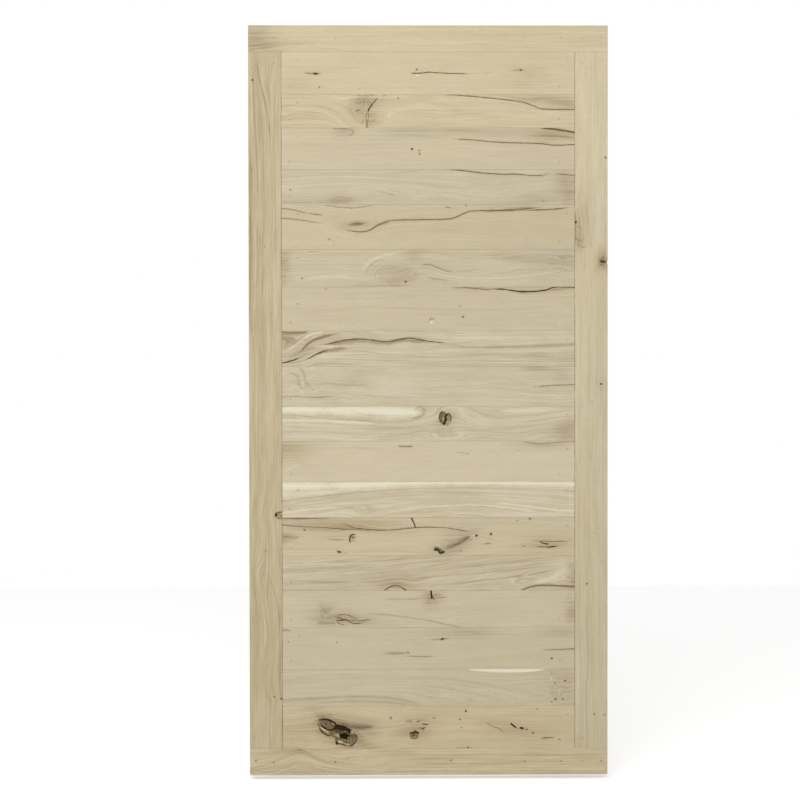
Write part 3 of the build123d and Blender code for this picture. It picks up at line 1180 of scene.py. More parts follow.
rightStile = {
    # fade paints light on this stile, lighter at the top and darker at the bottom
    "node": "right_stile", "seed": 34, "light": 0.008, "warm": -0.02, "fade": 0.055, "figure": 0.5,
    "upright": True, "wave": 0.6,
    "eased": (0.35, 0.8, 0.35, 0.7), "pressed": (1, 0, 1, 1), "joints": (0.4, 0.1, 0.4, 2.0),
    "joinery": (0, 0, 0, -meshSetup["endGroove"]),
    "bite": {"at": (606, 262.4), "length": 10.0, "depth": 4.0},  # lost from the outer edge, mm
    "fine": [(594, 252, 607, 270), (573, 216, 583, 232)],
    "cracks": [(2.2, 4, 0.66, (599, 261.6), (602.5, 261.2), (606.5, 262))],
    "veins": [
        ("brown", 3, 0.12, (577, 200), (581, 216), (583, 236), (581, 256)),
        ("brown", 3, 0.22, (582, 195), (588, 218), (590, 240), (598, 256), (606, 262)),
        ("brown", 3, 0.12, (580, 275), (587, 264), (596, 258), (604, 252)),
        ("brown", 3, 0.12, (586, 300), (592, 280), (600, 272), (606, 270)),
        ("brown", 6, 0.75, (599, 260.6), (602, 257.8), (606, 255.4)),
        ("brown", 6, 0.7, (599, 262.6), (602, 265), (606, 266)),
        ("brown", 6, 0.55, (575.2, 214), (575.6, 226), (575.4, 240)),
        ("grey", 8, 0.75, (575, 238), (579, 240.4), (583, 241.4)),
        ("grey", 8, 0.65, (576, 244), (581, 246.4), (587, 247)),
        # painted highlight: the pale lines near x 577 run along the stile's left edge where its eased
        # arris catches the light
        ("pale", 6, 0.3, (577, 300), (578, 360), (577, 420), (578, 470)),
        ("brown", 3, 0.12, (596, 330), (598, 400), (595, 470), (597, 540)),
        ("brown", 3, 0.12, (586, 620), (588, 660), (586, 700), (588, 745)),
        # painted highlight along the stile's left edge
        ("pale", 6, 0.3, (577, 640), (578, 690), (577, 745)),
    ],
    "spots": [
        ("dark", (9, 4.5), 5.0, 1.0, (575.9, 222.2), 70),
        ("brown", (7, 5), 1.0, 0.6, (578, 226.4), -40),
        ("brown", (19, 17), 2.0, 0.6, (602.6, 261.4), 0),
        ("dark", (15, 7), 5.0, 0.85, (602.8, 261.6), 0),
        ("dark", (5, 3.5), 2.0, 0.8, (605.5, 157.5), 90),
        ("dark", (6, 5), 3.0, 0.85, (601, 384), 0), ("brown", (5, 4), 0.6, 0.6, (592, 402), 0),
        ("dark", (5, 3), 1.5, 0.8, (587, 583.8), 60), ("dark", (4, 4), 1.5, 0.75, (594.5, 713.8), 0),
        ("dark", (4, 3), 1.5, 0.7, (604, 715), 0),
    ],
    "patches": [
        ("grey", 0.4, (579, 241), (16, 22), 0), ("brown", 0.45, (602, 261), (15, 24), 0),
        ("brown", 0.2, (579, 222), (12, 28), 0),
        ("brown", 0.16, (601, 384), (12, 18), 0), ("grey", 0.16, (583, 225), (20, 60), 0),
    ],
    "knots": [((604, 262), (60, 30), 0.6)],
    "mottles": [
        ((578, 232), (9, 34), 16, ("brown", "grey", "pale")),
        ((602, 261), (9, 12), 8, ("brown", "dark")),
    ],
    "nails": [(582.5, 63), (600.5, 61.5), (594.5, 533.8), (582, 738), (600, 738)],
}
dressPiece(rightStile, frameOak)
print("frame dressed")


def dressBoard(board):
    board["joinery"] = boardJoinery
    board["nailPlan"] = boardNails
    board["eased"] = (0.35, 0.7, 0.35, 0.7)
    board["pressed"] = (1, 1, 1, 1)
    # grime and painted shade along each joint, strongest at the board ends
    board["joints"] = (0.3, 2.0, board["joint"], 1.8)
    dressPiece(board, boardOak)


boardOne = {
    "node": "board_01", "seed": 1, "light": -0.015, "warm": 0.03, "figure": 0.26, "joint": 0.35,
    "cracks": [
        (2.0, 4, 0.86, (410, 73.4), (414, 73.4), (420, 73.1), (426, 72.6)),
        (1.6, 3, 0.95, (411, 73.3), (420, 73.2), (430, 72.2), (445, 73.2), (472, 73.8)),
    ],
    "veins": [
        ("brown", 3, 0.38, (455, 73.8), (475, 73.4), (498, 71.8)),
        ("brown", 6, 0.75, (302, 73), (312, 73.6), (325, 74)),
        ("brown", 5, 0.6, (509, 70), (521, 70), (528, 71)),
    ],
    "spots": [
        ("dark", (15, 5.5), 2.0, 0.85, (315.6, 73.8), 0),
        ("dark", (5, 3), 1.5, 0.85, (416.7, 69.5), 20),
        ("pale", (9, 5), 0.4, 0.8, (417.5, 75), 0), ("dark", (6, 4), 2.0, 0.85, (520.7, 70), 0),
    ],
    "specks": [(319.5, 87)],
    "patches": [("brown", 0.15, (526, 77), (46, 26), 10), ("brown", 0.12, (295, 82), (50, 26), 0)],
}
dressBoard(boardOne)

boardTwo = {
    "node": "board_02", "seed": 2, "light": -0.01, "warm": 0.03, "figure": 0.55, "joint": 0.5,
    "fine": [(352, 94.5, 392, 127)],
    "cracks": [
        (2.4, 4, 0.7, (379, 96.4), (374.2, 102), (371.3, 106.3), (368.6, 110), (366.2, 114.6)),
        (2.4, 3, 0.8, (372.4, 102), (369.4, 108.2), (367.2, 113.6)),
        (1.4, 3, 0.55, (367.2, 110.6), (366.1, 117), (366.5, 122), (366.3, 128)),
        (1.4, 3, 0.55, (368, 110.6), (368.4, 117), (367.8, 121.5), (367.2, 128)),
        (1.35, 4, 0.95, (421, 93.2), (445, 94.4), (475, 96.6), (505, 99.6), (522, 102), (533, 105.6),
         (543, 108.9), (575, 109.5)),
    ],
    "veins": [
        ("brown", 3, 0.45, (364.6, 117.6), (362.6, 121), (361.6, 125.6)),
        ("brown", 3, 0.4, (371.4, 117), (370.6, 121), (370, 126)),
        ("brown", 3, 0.5, (391, 93.6), (384.6, 95.2), (380.6, 98)),
        ("brown", 3, 0.35, (375.6, 103), (373.4, 107), (371, 111.6)),
        ("brown", 3, 0.15, (282, 98), (310, 98), (335, 102), (350, 112), (358, 126)),
        ("brown", 3, 0.12, (282, 105), (310, 105), (332, 109), (345, 118), (351, 126)),
        ("brown", 3, 0.24, (300, 112), (322, 114), (336, 121), (341, 127)),
        ("brown", 3, 0.14, (384, 125), (396, 114), (420, 110), (470, 111)),
        ("brown", 3, 0.14, (440, 116), (500, 112), (540, 114)),
    ],
    "spots": [
        ("brown", (15, 7), 0.4, 0.55, (358, 110.4), 27), ("brown", (8, 5), 0.3, 0.5, (372.2, 95), 0),
        ("dark", (5, 6), 3.0, 0.85, (368.5, 109.6), 0),
    ],
    "specks": [(398, 98.3)],
    "patches": [
        ("grey", 0.34, (363, 100), (19, 17), 10), ("grey", 0.26, (358, 107), (16, 14), 20),
        ("grey", 0.5, (550, 100), (76, 14), -8), ("brown", 0.28, (368, 114), (30, 44), 0),
        ("brown", 0.12, (300, 118), (50, 14), 0),
    ],
    "knots": [((369, 108), (56, 60), 0.15)],
    "mottles": [
        ((364, 100), (18, 12), 30, ("brown", "grey", "dark", "brown")),
        ((359, 108), (14, 12), 16, ("brown", "grey")),
        ((369, 119), (14, 16), 20, ("brown", "brown", "dark")),
    ],
}
dressBoard(boardTwo)

boardThree = {
    "node": "board_03", "seed": 3, "light": -0.04, "warm": 0.0, "figure": 0.28, "joint": 0.5,
    "cracks": [
        (4.4, 4, 0.6, (541, 127.7), (557.5, 129.6), (575, 132.4)),
        (1.2, 3, 0.92, (452, 138.6), (474, 140), (492.5, 141.8), (520, 143), (540, 143.5), (555, 145.2),
         (575, 144.5)),
    ],
    "veins": [
        ("brown", 4, 0.5, (334, 128.6), (345, 129), (353, 130.6), (351, 135), (342, 137)),
        ("brown", 3, 0.5, (440, 131), (460, 130.6), (487, 131)),
        ("grey", 4, 0.4, (390, 131), (398, 131.4), (406, 131)),
        ("grey", 4, 0.45, (411, 133), (418, 135.4), (430, 134.6)),
        ("grey", 4, 0.35, (414, 130.4), (422, 131), (434, 130.6)),
    ],
    "spots": [
        ("dark", (6, 5), 2.5, 0.9, (412, 149), 0), ("dark", (4, 3), 1.5, 0.75, (419.5, 150.4), 0),
        ("dark", (4, 3), 1.5, 0.75, (419.5, 153.8), 0),
    ],
    "patches": [
        ("brown", 0.5, (556, 135), (60, 13), -4), ("grey", 0.26, (408, 133), (56, 16), 0),
        ("grey", 0.36, (344, 131.6), (26, 12), 0), ("brown", 0.22, (480, 131), (120, 9), -2),
    ],
    "swirls": [((346, 132), (26, 14), 4)],
}
dressBoard(boardThree)

boardFour = {
    "node": "board_04", "seed": 4, "light": -0.07, "warm": -0.02, "figure": 0.45, "joint": 0.25,
    "cracks": [
        (1.4, 3, 0.95, (434, 168.7), (452, 169.6), (465, 170.8), (482, 173), (502, 174.3), (515, 174.2),
         (532, 175.5), (543, 175), (551, 172.4)),
        (1.0, 2, 0.85, (556, 173.6), (575, 175.6)),
    ],
    "veins": [
        ("pale", 4, 0.25, (282, 180), (310, 177.5), (340, 176.6), (380, 178), (430, 181), (480, 184)),
        ("pale", 4, 0.2, (282, 187), (330, 184), (380, 184.5), (440, 190), (500, 192)),
        ("pale", 3, 0.2, (480, 197), (510, 190), (540, 184), (565, 182)),
        ("brown", 4, 0.35, (375, 191), (388, 193.4), (398, 197)),
        ("brown", 3, 0.3, (388, 189), (404, 193)),
        ("brown", 3, 0.14, (385, 190), (400, 193), (415, 198)),
        ("brown", 4, 0.42, (282, 202.8), (320, 202.6), (352, 202.6)),
        ("brown", 4, 0.35, (330, 200.6), (338, 197.8), (346, 198.8), (355, 202.4)),
    ],
    "spots": [("brown", (70, 19), 0.2, 0.3, (341, 200), 3)],
    "specks": [(290.5, 190), (543.8, 201.5)],
    "patches": [
        ("brown", 0.4, (568, 190), (26, 40), 0), ("brown", 0.22, (341, 199.4), (36, 12), 0),
        ("brown", 0.26, (540, 199), (60, 9), 0),
    ],
    "swirls": [((396, 195), (50, 18), 3)],
}
dressBoard(boardFour)

boardFive = {
    "node": "board_05", "seed": 5, "light": -0.07, "warm": 0.02, "figure": 0.3, "joint": 0.4,
    "cracks": [
        (1.1, 2, 0.55, (280, 208.2), (292, 209.7), (302.5, 212.2), (311, 214.5)),
        (1.1, 2, 0.55, (308, 212.6), (316, 214.6), (324, 215)),
        (1.1, 2, 0.55, (280, 218.2), (295, 219.3), (310, 221.5), (324, 223.8)),
        (0.5, 2, 0.5, (322, 204), (337, 206.8), (352, 207.8), (367, 206.3), (378, 203)),
        (1.5, 5, 0.78, (342, 228.8), (353, 231.3), (363, 231.7), (370, 230), (377.5, 225.6), (385, 222),
         (395, 220.2), (420, 219.7), (445, 219.2), (455, 217.4), (465, 213), (472.5, 211), (495, 210.5),
         (515, 209.6)),
        (1.3, 3, 0.75, (500, 211), (515, 210.2), (528, 208.4), (544, 207.4)),
        (1.8, 3, 0.75, (522, 210.6), (550, 209.3), (572, 207.4)),
    ],
    "veins": [
        ("brown", 8, 0.75, (474, 211.4), (500, 210.6), (520, 209), (546, 207)),
        ("brown", 6, 0.5, (526, 211), (550, 209.6), (570, 207.8)),
        ("brown", 6, 0.6, (368, 230.6), (380, 224.2), (394, 220.6)),
        ("brown", 3, 0.1, (350, 236), (400, 228), (450, 226), (520, 220)),
    ],
    "spots": [
        ("brown", (44, 9), 0.4, 0.6, (356.6, 224), 2), ("dark", (26, 5), 0.5, 0.3, (357, 224.2), 2),
        ("brown", (20, 4), 0.3, 0.5, (448, 207.4), -8), ("brown", (6, 2), 0.2, 0.6, (333.8, 242), 0),
        ("brown", (6, 2), 0.2, 0.6, (333.8, 245.2), 0),
    ],
    "specks": [(328.8, 239.3), (466, 205.5)],
    "patches": [
        ("grey", 0.4, (356.5, 224), (24, 6), 2),
        ("brown", 0.2, (525, 209), (70, 8), -4), ("brown", 0.14, (356, 226), (40, 16), 0),
    ],
    "knots": [((357, 224), (44, 22), 0.4)],
}
dressBoard(boardFive)

boardSix = {
    "node": "board_06", "seed": 6, "light": -0.05, "warm": -0.02, "figure": 0.5, "joint": 0.3,
    "wave": 0.6,
    "veins": [
        ("brown", 3, 0.42, (366.5, 283), (366, 276), (368, 269), (374, 263), (381, 259.5), (390, 258)),
        ("brown", 3, 0.4, (374.5, 284), (375, 276), (378, 269.6), (384, 265.4)),
        ("brown", 3, 0.32, (370.4, 284), (370.6, 276), (373, 269), (380, 264), (386, 261)),
        ("pale", 4, 0.45, (300, 282), (318, 277.4), (340, 276.6), (352, 279.4), (358, 283)),
        ("pale", 6, 0.4, (361, 281), (362, 272), (367, 264), (376, 258), (390, 254.4), (402, 253)),
        ("pale", 4, 0.2, (404, 262), (414, 266), (420, 272), (421, 280)),
        ("brown", 5, 0.6, (415, 265.8), (424, 265), (431, 265), (438, 268), (447, 271), (456, 273)),
        ("brown", 4, 0.5, (424, 277), (432, 278.5), (438, 279), (452, 281)),
        ("pale", 4, 0.3, (425, 268), (450, 276), (500, 278), (560, 271)),
        ("brown", 3, 0.3, (500, 262), (535, 258), (572, 262)),
        ("brown", 3, 0.14, (420, 251), (470, 254), (530, 251)),
        ("brown", 3, 0.14, (530, 268), (555, 272), (574, 276)),
        ("brown", 3, 0.3, (285, 250), (288.6, 257), (286, 266), (283, 276)),
        ("brown", 2.5, 0.4, (348, 285.4), (370, 285.2), (400, 285.4), (418, 285)),
        ("brown", 3, 0.3, (306, 251), (314, 251.6), (322, 251)),
    ],
    "spots": [
        ("brown", (118, 56), 0.1, 0.24, (397, 275), 4), ("dark", (7, 5), 2.0, 0.75, (405.8, 281.7), 70),
        ("brown", (6, 5), 0.6, 0.7, (302, 278.3), 0),
    ],
    "patches": [
        ("brown", 0.22, (397, 275), (50, 27), 0), ("brown", 0.22, (414, 255), (22, 22), 0),
        ("brown", 0.36, (284, 266), (14, 40), 0), ("grey", 0.34, (560, 260), (50, 26), 0),
        ("brown", 0.3, (510, 257), (60, 9), -3),
    ],
    "swirls": [((286, 266), (26, 36), 4), ((330, 268), (60, 34), 2), ((560, 262), (40, 34), 3)],
    "mottles": [
        ((562, 262), (26, 30), 14, ("pale", "grey")),
        ((285, 266), (9, 32), 10, ("brown", "pale")),
    ],
    "putty": True,
}
dressBoard(boardSix)

boardSeven = {
    "node": "board_07", "seed": 7, "light": -0.055, "warm": 0.0, "figure": 0.28, "joint": 0.4,
    "cracks": [
        (1.3, 3, 0.6, (462, 287), (485, 289.4), (498, 288.6)),
        (3.0, 5, 0.97, (486, 288.8), (505, 289.4), (517, 291.2), (532, 291.5), (545, 290.2),
         (555, 287.2), (575, 287)),
    ],
    "veins": [
        ("brown", 10, 0.55, (455, 286.6), (470, 288), (496, 289.6)),
        ("brown", 7, 0.6, (500, 289.4), (525, 292), (550, 289.6), (576, 287.4)),
        ("brown", 3, 0.1, (282, 292), (315, 294), (345, 295), (400, 292)),
        ("brown", 3, 0.14, (300, 311), (380, 308), (470, 310), (560, 307)),
    ],
    "spots": [
        ("brown", (12, 3.5), 1.0, 0.7, (430.6, 319), 60),
        ("brown", (8, 3), 0.8, 0.7, (433.6, 318.6), 40),
        ("pale", (8, 6), 0.6, 0.9, (431.5, 322.5), 0), ("dark", (5, 4), 2.0, 0.8, (463, 316.8), 90),
    ],
    "specks": [(326, 288.8), (297.5, 303.8), (460, 306)],
    "patches": [("brown", 0.12, (530, 289), (90, 10), 0)],
    "putty": True,
}
dressBoard(boardSeven)

boardEight = {
    "node": "board_08", "seed": 8, "light": -0.045, "warm": -0.02, "figure": 0.85, "joint": 0.45,
    "wave": 0.6,
    "cracks": [
        (2.6, 3, 0.9, (279, 363.8), (288, 361.7), (295, 359.8), (301, 357)),
        (1.2, 2, 0.5, (297, 354.6), (304.5, 347.5), (309, 343), (315, 339.5), (325, 336.5)),
        (2.0, 3, 0.8, (302, 361.6), (310, 358), (316, 354.5), (322, 351.8), (332, 350)),
        (2.2, 5, 0.85, (319, 345), (330, 343.5), (340, 341), (350, 339.6), (360, 339), (368, 339.6),
         (376, 340.6), (385, 341.6), (394, 340.6), (402, 339), (410, 338.2), (418, 339.3), (428, 341.2),
         (438, 342.4), (448, 343)),
    ],
    "veins": [
        ("brown", 8, 0.8, (281, 332), (292, 332.8), (306, 332.4)),
        ("brown", 9, 0.8, (294, 356), (301, 351.5), (304.5, 347.5), (309, 343), (315, 339.5),
         (325, 336.5), (333, 334.5), (342, 332.8)),
        ("brown", 8, 0.75, (303, 361.6), (310, 358), (316, 354.5), (322, 351.8), (330, 350.3),
         (340, 349), (357, 348)),
        ("brown", 11, 0.6, (320, 346), (350, 341), (370, 341.4), (386, 343), (404, 340.6), (436, 343)),
        ("pale", 4, 0.7, (284, 351), (293, 347), (300, 341), (309, 335.4), (322, 331.6)),
        ("pale", 4, 0.6, (311, 351), (318, 346.6), (330, 346.4), (346, 345)),
        ("pale", 5, 0.3, (420, 335), (460, 337.5), (520, 338), (574, 337)),
        ("pale", 4, 0.3, (368, 349), (380, 352), (430, 351), (480, 350), (530, 351), (574, 349)),
        ("brown", 4, 0.45, (440, 345.6), (490, 347), (574, 344.6)),
        ("brown", 2.5, 0.25, (340, 356), (360, 354.6), (390, 355), (430, 357), (500, 355), (574, 358)),
        ("brown", 2.5, 0.25, (330, 358.6), (400, 361), (480, 361), (574, 362)),
    ],
    "patches": [("brown", 0.5, (286, 339), (28, 20), -10), ("brown", 0.35, (302, 354), (44, 18), 30)],
}
dressBoard(boardEight)

boardNine = {
    "node": "board_09", "seed": 9, "light": -0.015, "warm": -0.03, "figure": 0.55, "joint": 0.45,
    "cracks": [(0.75, 2, 0.9, (535, 387), (552, 385.4), (575, 384.6))],
    "veins": [
        ("brown", 7, 0.3, (299, 365), (304, 374), (305, 381), (312, 388), (318, 396)),
        ("brown", 7, 0.26, (284, 374), (292, 373), (298, 378), (300, 386), (306, 394)),
        ("pale", 7, 0.26, (284, 391), (294, 387), (303, 391), (299, 398)),
        ("brown", 4, 0.6, (282, 397.4), (296, 396.6), (316, 397.2), (340, 396)),
        ("brown", 4, 0.16, (527, 367.5), (537, 369.4), (546, 368)),
        ("brown", 3, 0.1, (330, 391), (400, 397), (480, 395), (560, 398)),
        ("pale", 3, 0.15, (330, 381), (420, 386), (500, 383)),
    ],
    "patches": [
        ("brown", 0.34, (536, 368), (36, 8), 0), ("grey", 0.24, (562, 374), (28, 16), 0),
        ("brown", 0.16, (350, 382), (60, 18), 8), ("pale", 0.24, (388, 386), (60, 12), 0),
    ],
    "swirls": [((303, 384), (50, 40), 6), ((360, 384), (90, 36), 3)],
    "putty": True,
}
dressBoard(boardNine)

boardTen = {
    "node": "board_10", "seed": 10, "light": 0.005, "warm": -0.03, "figure": 0.75, "joint": 0.5,
    "wave": 0.6,
    "fine": [(435.5, 409, 454.5, 428.5)],
    "cracks": [
        (2.9, 3, 0.9, (445.4, 413.3), (443.6, 412.3), (441.4, 412.5), (439.7, 414.6), (439.4, 417.6),
         (440.5, 421.4), (443, 424.8)),
        (2.7, 3, 0.88, (446.8, 413.9), (448.4, 413), (450.2, 414.7), (450.9, 418), (450.4, 421.2),
         (449.2, 423.4)),
        (1.3, 2, 0.6, (447.6, 417.4), (448.8, 419.4), (448.8, 421.8)),
        (1.5, 2, 0.5, (449.2, 423.4), (447, 425.4), (444.4, 425.2)),
        (5.8, 9, 1.0, (447.6, 413.2), (446, 416), (445.5, 418), (446.3, 419.4), (445, 421.6),
         (443.4, 425.2)),
    ],
    "veins": [
        ("pale", 26, 0.95, (278, 409.4), (320, 410), (360, 410.4), (395, 411.6), (424, 413)),
        ("pale", 8, 0.6, (278, 420), (310, 420.4), (345, 421.6), (380, 424)),
        ("brown", 9, 0.42, (419, 405.6), (424, 409), (423.6, 413.4), (418, 417.4), (408, 420)),
        # painted highlight: these two thin pale lines run along the knot's upper rim
        ("pale", 2.4, 0.9, (440.6, 411.4), (444, 410.8), (447, 411.8)),
        ("pale", 2.4, 0.9, (449.6, 412.4), (452.2, 416)),
        ("brown", 3, 0.5, (437, 417), (439.4, 417.4)),
        ("brown", 3, 0.5, (437.2, 419.4), (439.4, 419.6)),
        ("brown", 3, 0.42, (282, 414.4), (305, 416), (330, 419), (357, 420.5), (395, 422.5),
         (420, 420)),
        ("brown", 3, 0.14, (334, 407), (350, 411), (372, 415.5), (400, 416)),
        ("brown", 3, 0.14, (282, 425.5), (320, 427), (370, 428.5), (410, 427), (430, 423.5)),
        ("brown", 3, 0.2, (282, 431), (340, 433), (395, 433), (430, 429)),
        ("brown", 3, 0.26, (365, 439), (395, 435.5), (420, 431.5), (436, 428)),
        ("brown", 3, 0.14, (520, 439), (490, 434.5), (467, 430), (453, 426.5)),
        ("brown", 3, 0.18, (462, 406), (474, 411), (492, 417.6), (530, 416.5), (574, 410)),
        ("brown", 3, 0.12, (455, 413), (470, 419), (495, 424), (535, 421), (574, 416)),
        ("brown", 3, 0.14, (458, 422), (485, 428.5), (520, 428), (552, 423)),
        ("brown", 3, 0.3, (440, 435.4), (444, 435.2), (449, 435.2)),
        ("pale", 9, 0.5, (494, 411), (530, 410.5), (566, 408)),
    ],
    "spots": [
        ("brown", (36, 22), 3.0, 0.6, (443, 418), 102), ("grey", (36, 22), 3.0, 0.7, (443, 418), 102),
        ("dark", (36, 22), 3.0, 0.36, (443, 418), 102),
        ("brown", (34, 16), 2.0, 0.5, (448.2, 419.4), 83),
        ("dark", (12, 10), 2.5, 0.5, (448.8, 415), 0),
        ("dark", (12, 9), 2.5, 0.45, (441.4, 415), 60), ("bare", (17, 5), 0, 0.6, (443.4, 419.4), 84),
    ],
    "patches": [
        ("brown", 0.34, (568, 430), (36, 24), 25), ("brown", 0.32, (445, 419.4), (22, 24), 0),
        ("grey", 0.18, (400, 431), (90, 12), 0),
    ],
    "knots": [((445, 419), (56, 48), 0.75)],
}
dressBoard(boardTen)

boardEleven = {
    "node": "board_11", "seed": 11, "light": 0.04, "warm": -0.01, "figure": 0.18, "joint": 0.3,
    "cracks": [(0.8, 2, 0.7, (527.5, 442.6), (540, 444), (560, 442.4))],
    "veins": [
        ("brown", 6, 0.75, (396, 446.3), (405, 446.5), (415, 446.7)),
        ("brown", 3, 0.35, (454, 452.3), (461, 452.5), (467, 453.1)),
        ("brown", 3, 0.25, (515, 450.8), (523, 450.8)),
        ("brown", 4, 0.1, (300, 450), (315, 449), (345, 448), (390, 449)),
        ("brown", 6, 0.5, (524, 442), (540, 444), (556, 442.6), (574, 441.6)),
        ("pale", 5, 0.3, (284, 474), (292, 467), (304, 463)),
    ],
    "specks": [(467.3, 453.3)],
    "patches": [("brown", 0.34, (286, 449), (56, 26), -12), ("brown", 0.24, (545, 445), (60, 9), 0)],
}
dressBoard(boardEleven)

boardTwelve = {
    "node": "board_12", "seed": 12, "light": 0.045, "warm": -0.04, "figure": 0.78, "joint": 0.8,
    "wave": 0.6,
    "veins": [
        ("pale", 20, 1.0, (278, 486), (310, 486), (345, 485), (400, 483.4)),
        ("pale", 11, 1.0, (350, 484.4), (420, 483.2), (480, 482.8), (530, 483.2), (578, 484)),
        ("pale", 9, 0.55, (278, 495), (310, 493.6), (345, 491.5)),
        ("brown", 3, 0.26, (282, 501.4), (320, 496.4), (360, 492), (410, 488.9), (470, 488),
         (530, 489.2), (574, 491.4)),
        ("brown", 3, 0.14, (282, 508), (320, 503.5), (370, 497.5), (430, 494), (490, 494), (540, 497),
         (574, 501)),
        ("brown", 3, 0.14, (310, 512), (350, 507), (400, 501), (450, 498.6), (500, 501), (560, 508)),
        ("brown", 3, 0.14, (370, 515), (410, 508), (450, 504.6), (490, 507), (530, 513)),
        ("pale", 5, 0.6, (376, 515.5), (400, 510), (430, 506.4), (470, 505), (510, 508), (545, 513)),
        ("pale", 5, 0.6, (490, 503), (525, 505.6), (556, 510), (578, 511)),
        ("pale", 5, 0.5, (500, 512), (530, 514.4), (576, 514.6)),
        ("brown", 3, 0.14, (410, 515.5), (440, 511.6), (470, 511), (495, 515)),
        ("pale", 4, 0.2, (350, 510), (360, 506), (366, 511), (372, 515)),
        ("pale", 6, 0.5, (278, 513.6), (310, 509.4), (345, 507)),
    ],
    "specks": [(288.8, 509)],
    "swirls": [((362, 511), (24, 14), 3)],
}
dressBoard(boardTwelve)

boardThirteen = {
    "node": "board_13", "seed": 13, "light": -0.03, "warm": 0.02, "figure": 0.4, "joint": 0.6,
    "fine": [(432, 532, 473, 555), (346, 531, 359, 545), (410, 517, 419, 530)],
    "cracks": [
        (1.2, 3, 0.92, (280, 524.8), (302, 526.6), (322, 527.3), (345, 529.3), (362, 529), (380, 530.3),
         (395, 529.8), (410, 528.1), (427, 527.3), (445, 527.8), (460, 529.8), (471, 532.2)),
        (1.4, 2, 0.85, (341, 522.6), (352, 527.2), (365, 529.1), (378, 531)),
        (3.4, 4, 0.9, (411.6, 517.6), (413.8, 523), (415, 526), (416.2, 529.4)),
        (5.4, 6, 1.0, (433.6, 550.2), (436.6, 549.4), (438.8, 551), (440.6, 553.2), (445, 551.4)),
        (1.3, 3, 0.8, (453, 545.4), (458, 543.8), (462.4, 542.4)),
        (1.1, 3, 0.7, (462.6, 541), (467, 538.2), (470.4, 535.4)),
        (1.0, 2, 0.85, (533, 541), (550, 541.6), (568, 541.4)),
        (1.4, 2, 0.85, (534, 546.4), (545, 546.8), (561, 545.6)),
        (2.6, 3, 0.95, (546, 547), (551, 546.9), (557, 546.2)),
        (2.4, 3, 0.95, (540, 541.8), (544, 543.6), (549, 543.6)),
        (1.5, 2, 0.75, (280, 517.8), (300, 518.3), (328, 517.4)),
        (3.4, 3, 0.9, (357, 534), (352, 534.8), (350.1, 537.4), (349.8, 540.4), (351, 544)),
    ],
    "veins": [
        ("brown", 8, 0.6, (279, 518.4), (300, 518.6), (328, 517.6)),
        ("brown", 9, 0.6, (326, 527.2), (350, 529.2), (372, 530), (396, 529.8)),
        ("brown", 6, 0.5, (280, 525), (302, 526.8), (330, 528)),
        ("brown", 4, 0.5, (444, 528), (460, 530), (472, 532.6)),
        ("grey", 20, 0.9, (440, 551.6), (450, 546.6), (460, 541.8), (467, 537), (473, 532.6)),
        ("brown", 7, 0.65, (446, 549.4), (456, 545), (463, 541), (471, 535.4)),
        ("grey", 8, 0.6, (462, 543), (468, 541), (474, 537.6)),
        ("brown", 4, 0.55, (326, 539.4), (337, 539.8), (347, 539.8)),
        ("brown", 3, 0.4, (470, 533), (485, 537), (500, 539.5)),
        ("brown", 4.5, 0.6, (483, 543.6), (488, 543.5), (493, 543.4)),
        ("brown", 6, 0.55, (279, 536.4), (290, 538), (301, 537.4)),
    ],
    "spots": [
        ("dark", (27, 12), 3.0, 0.58, (438.8, 549.8), -25),
        ("brown", (18, 20), 0.6, 0.4, (353, 538), 0), ("dark", (5, 5), 1.5, 0.8, (352.7, 537.7), 0),
        ("dark", (20, 4.5), 1.5, 0.75, (545, 543.6), -12),
        ("dark", (12, 5), 2.5, 0.85, (339.2, 551.9), -18),
        ("dark", (6.5, 6), 2.5, 0.95, (476.6, 535.6), 0), ("dark", (6, 6), 2.5, 0.92, (491, 534), 0),
        ("dark", (6, 4), 1.5, 0.8, (304.5, 530), 0), ("brown", (11, 3), 0.6, 0.65, (517.5, 520.4), 0),
        ("dark", (5, 4), 1.5, 0.75, (530, 518.8), 0), ("brown", (12, 3), 0.3, 0.65, (523.8, 546.3), 0),
        ("brown", (10, 7), 0.3, 0.4, (460.8, 550.6), 80), ("brown", (8, 3), 0.3, 0.4, (345, 552.6), 0),
    ],
    "patches": [
        ("brown", 0.4, (340, 526), (120, 14), 0), ("grey", 0.5, (456, 543), (50, 20), 32),
        ("brown", 0.3, (548, 543.6), (50, 14), 0), ("brown", 0.45, (285, 537), (22, 12), 0),
    ],
    "knots": [((353, 537.6), (26, 24), 0.6)],
}
dressBoard(boardThirteen)

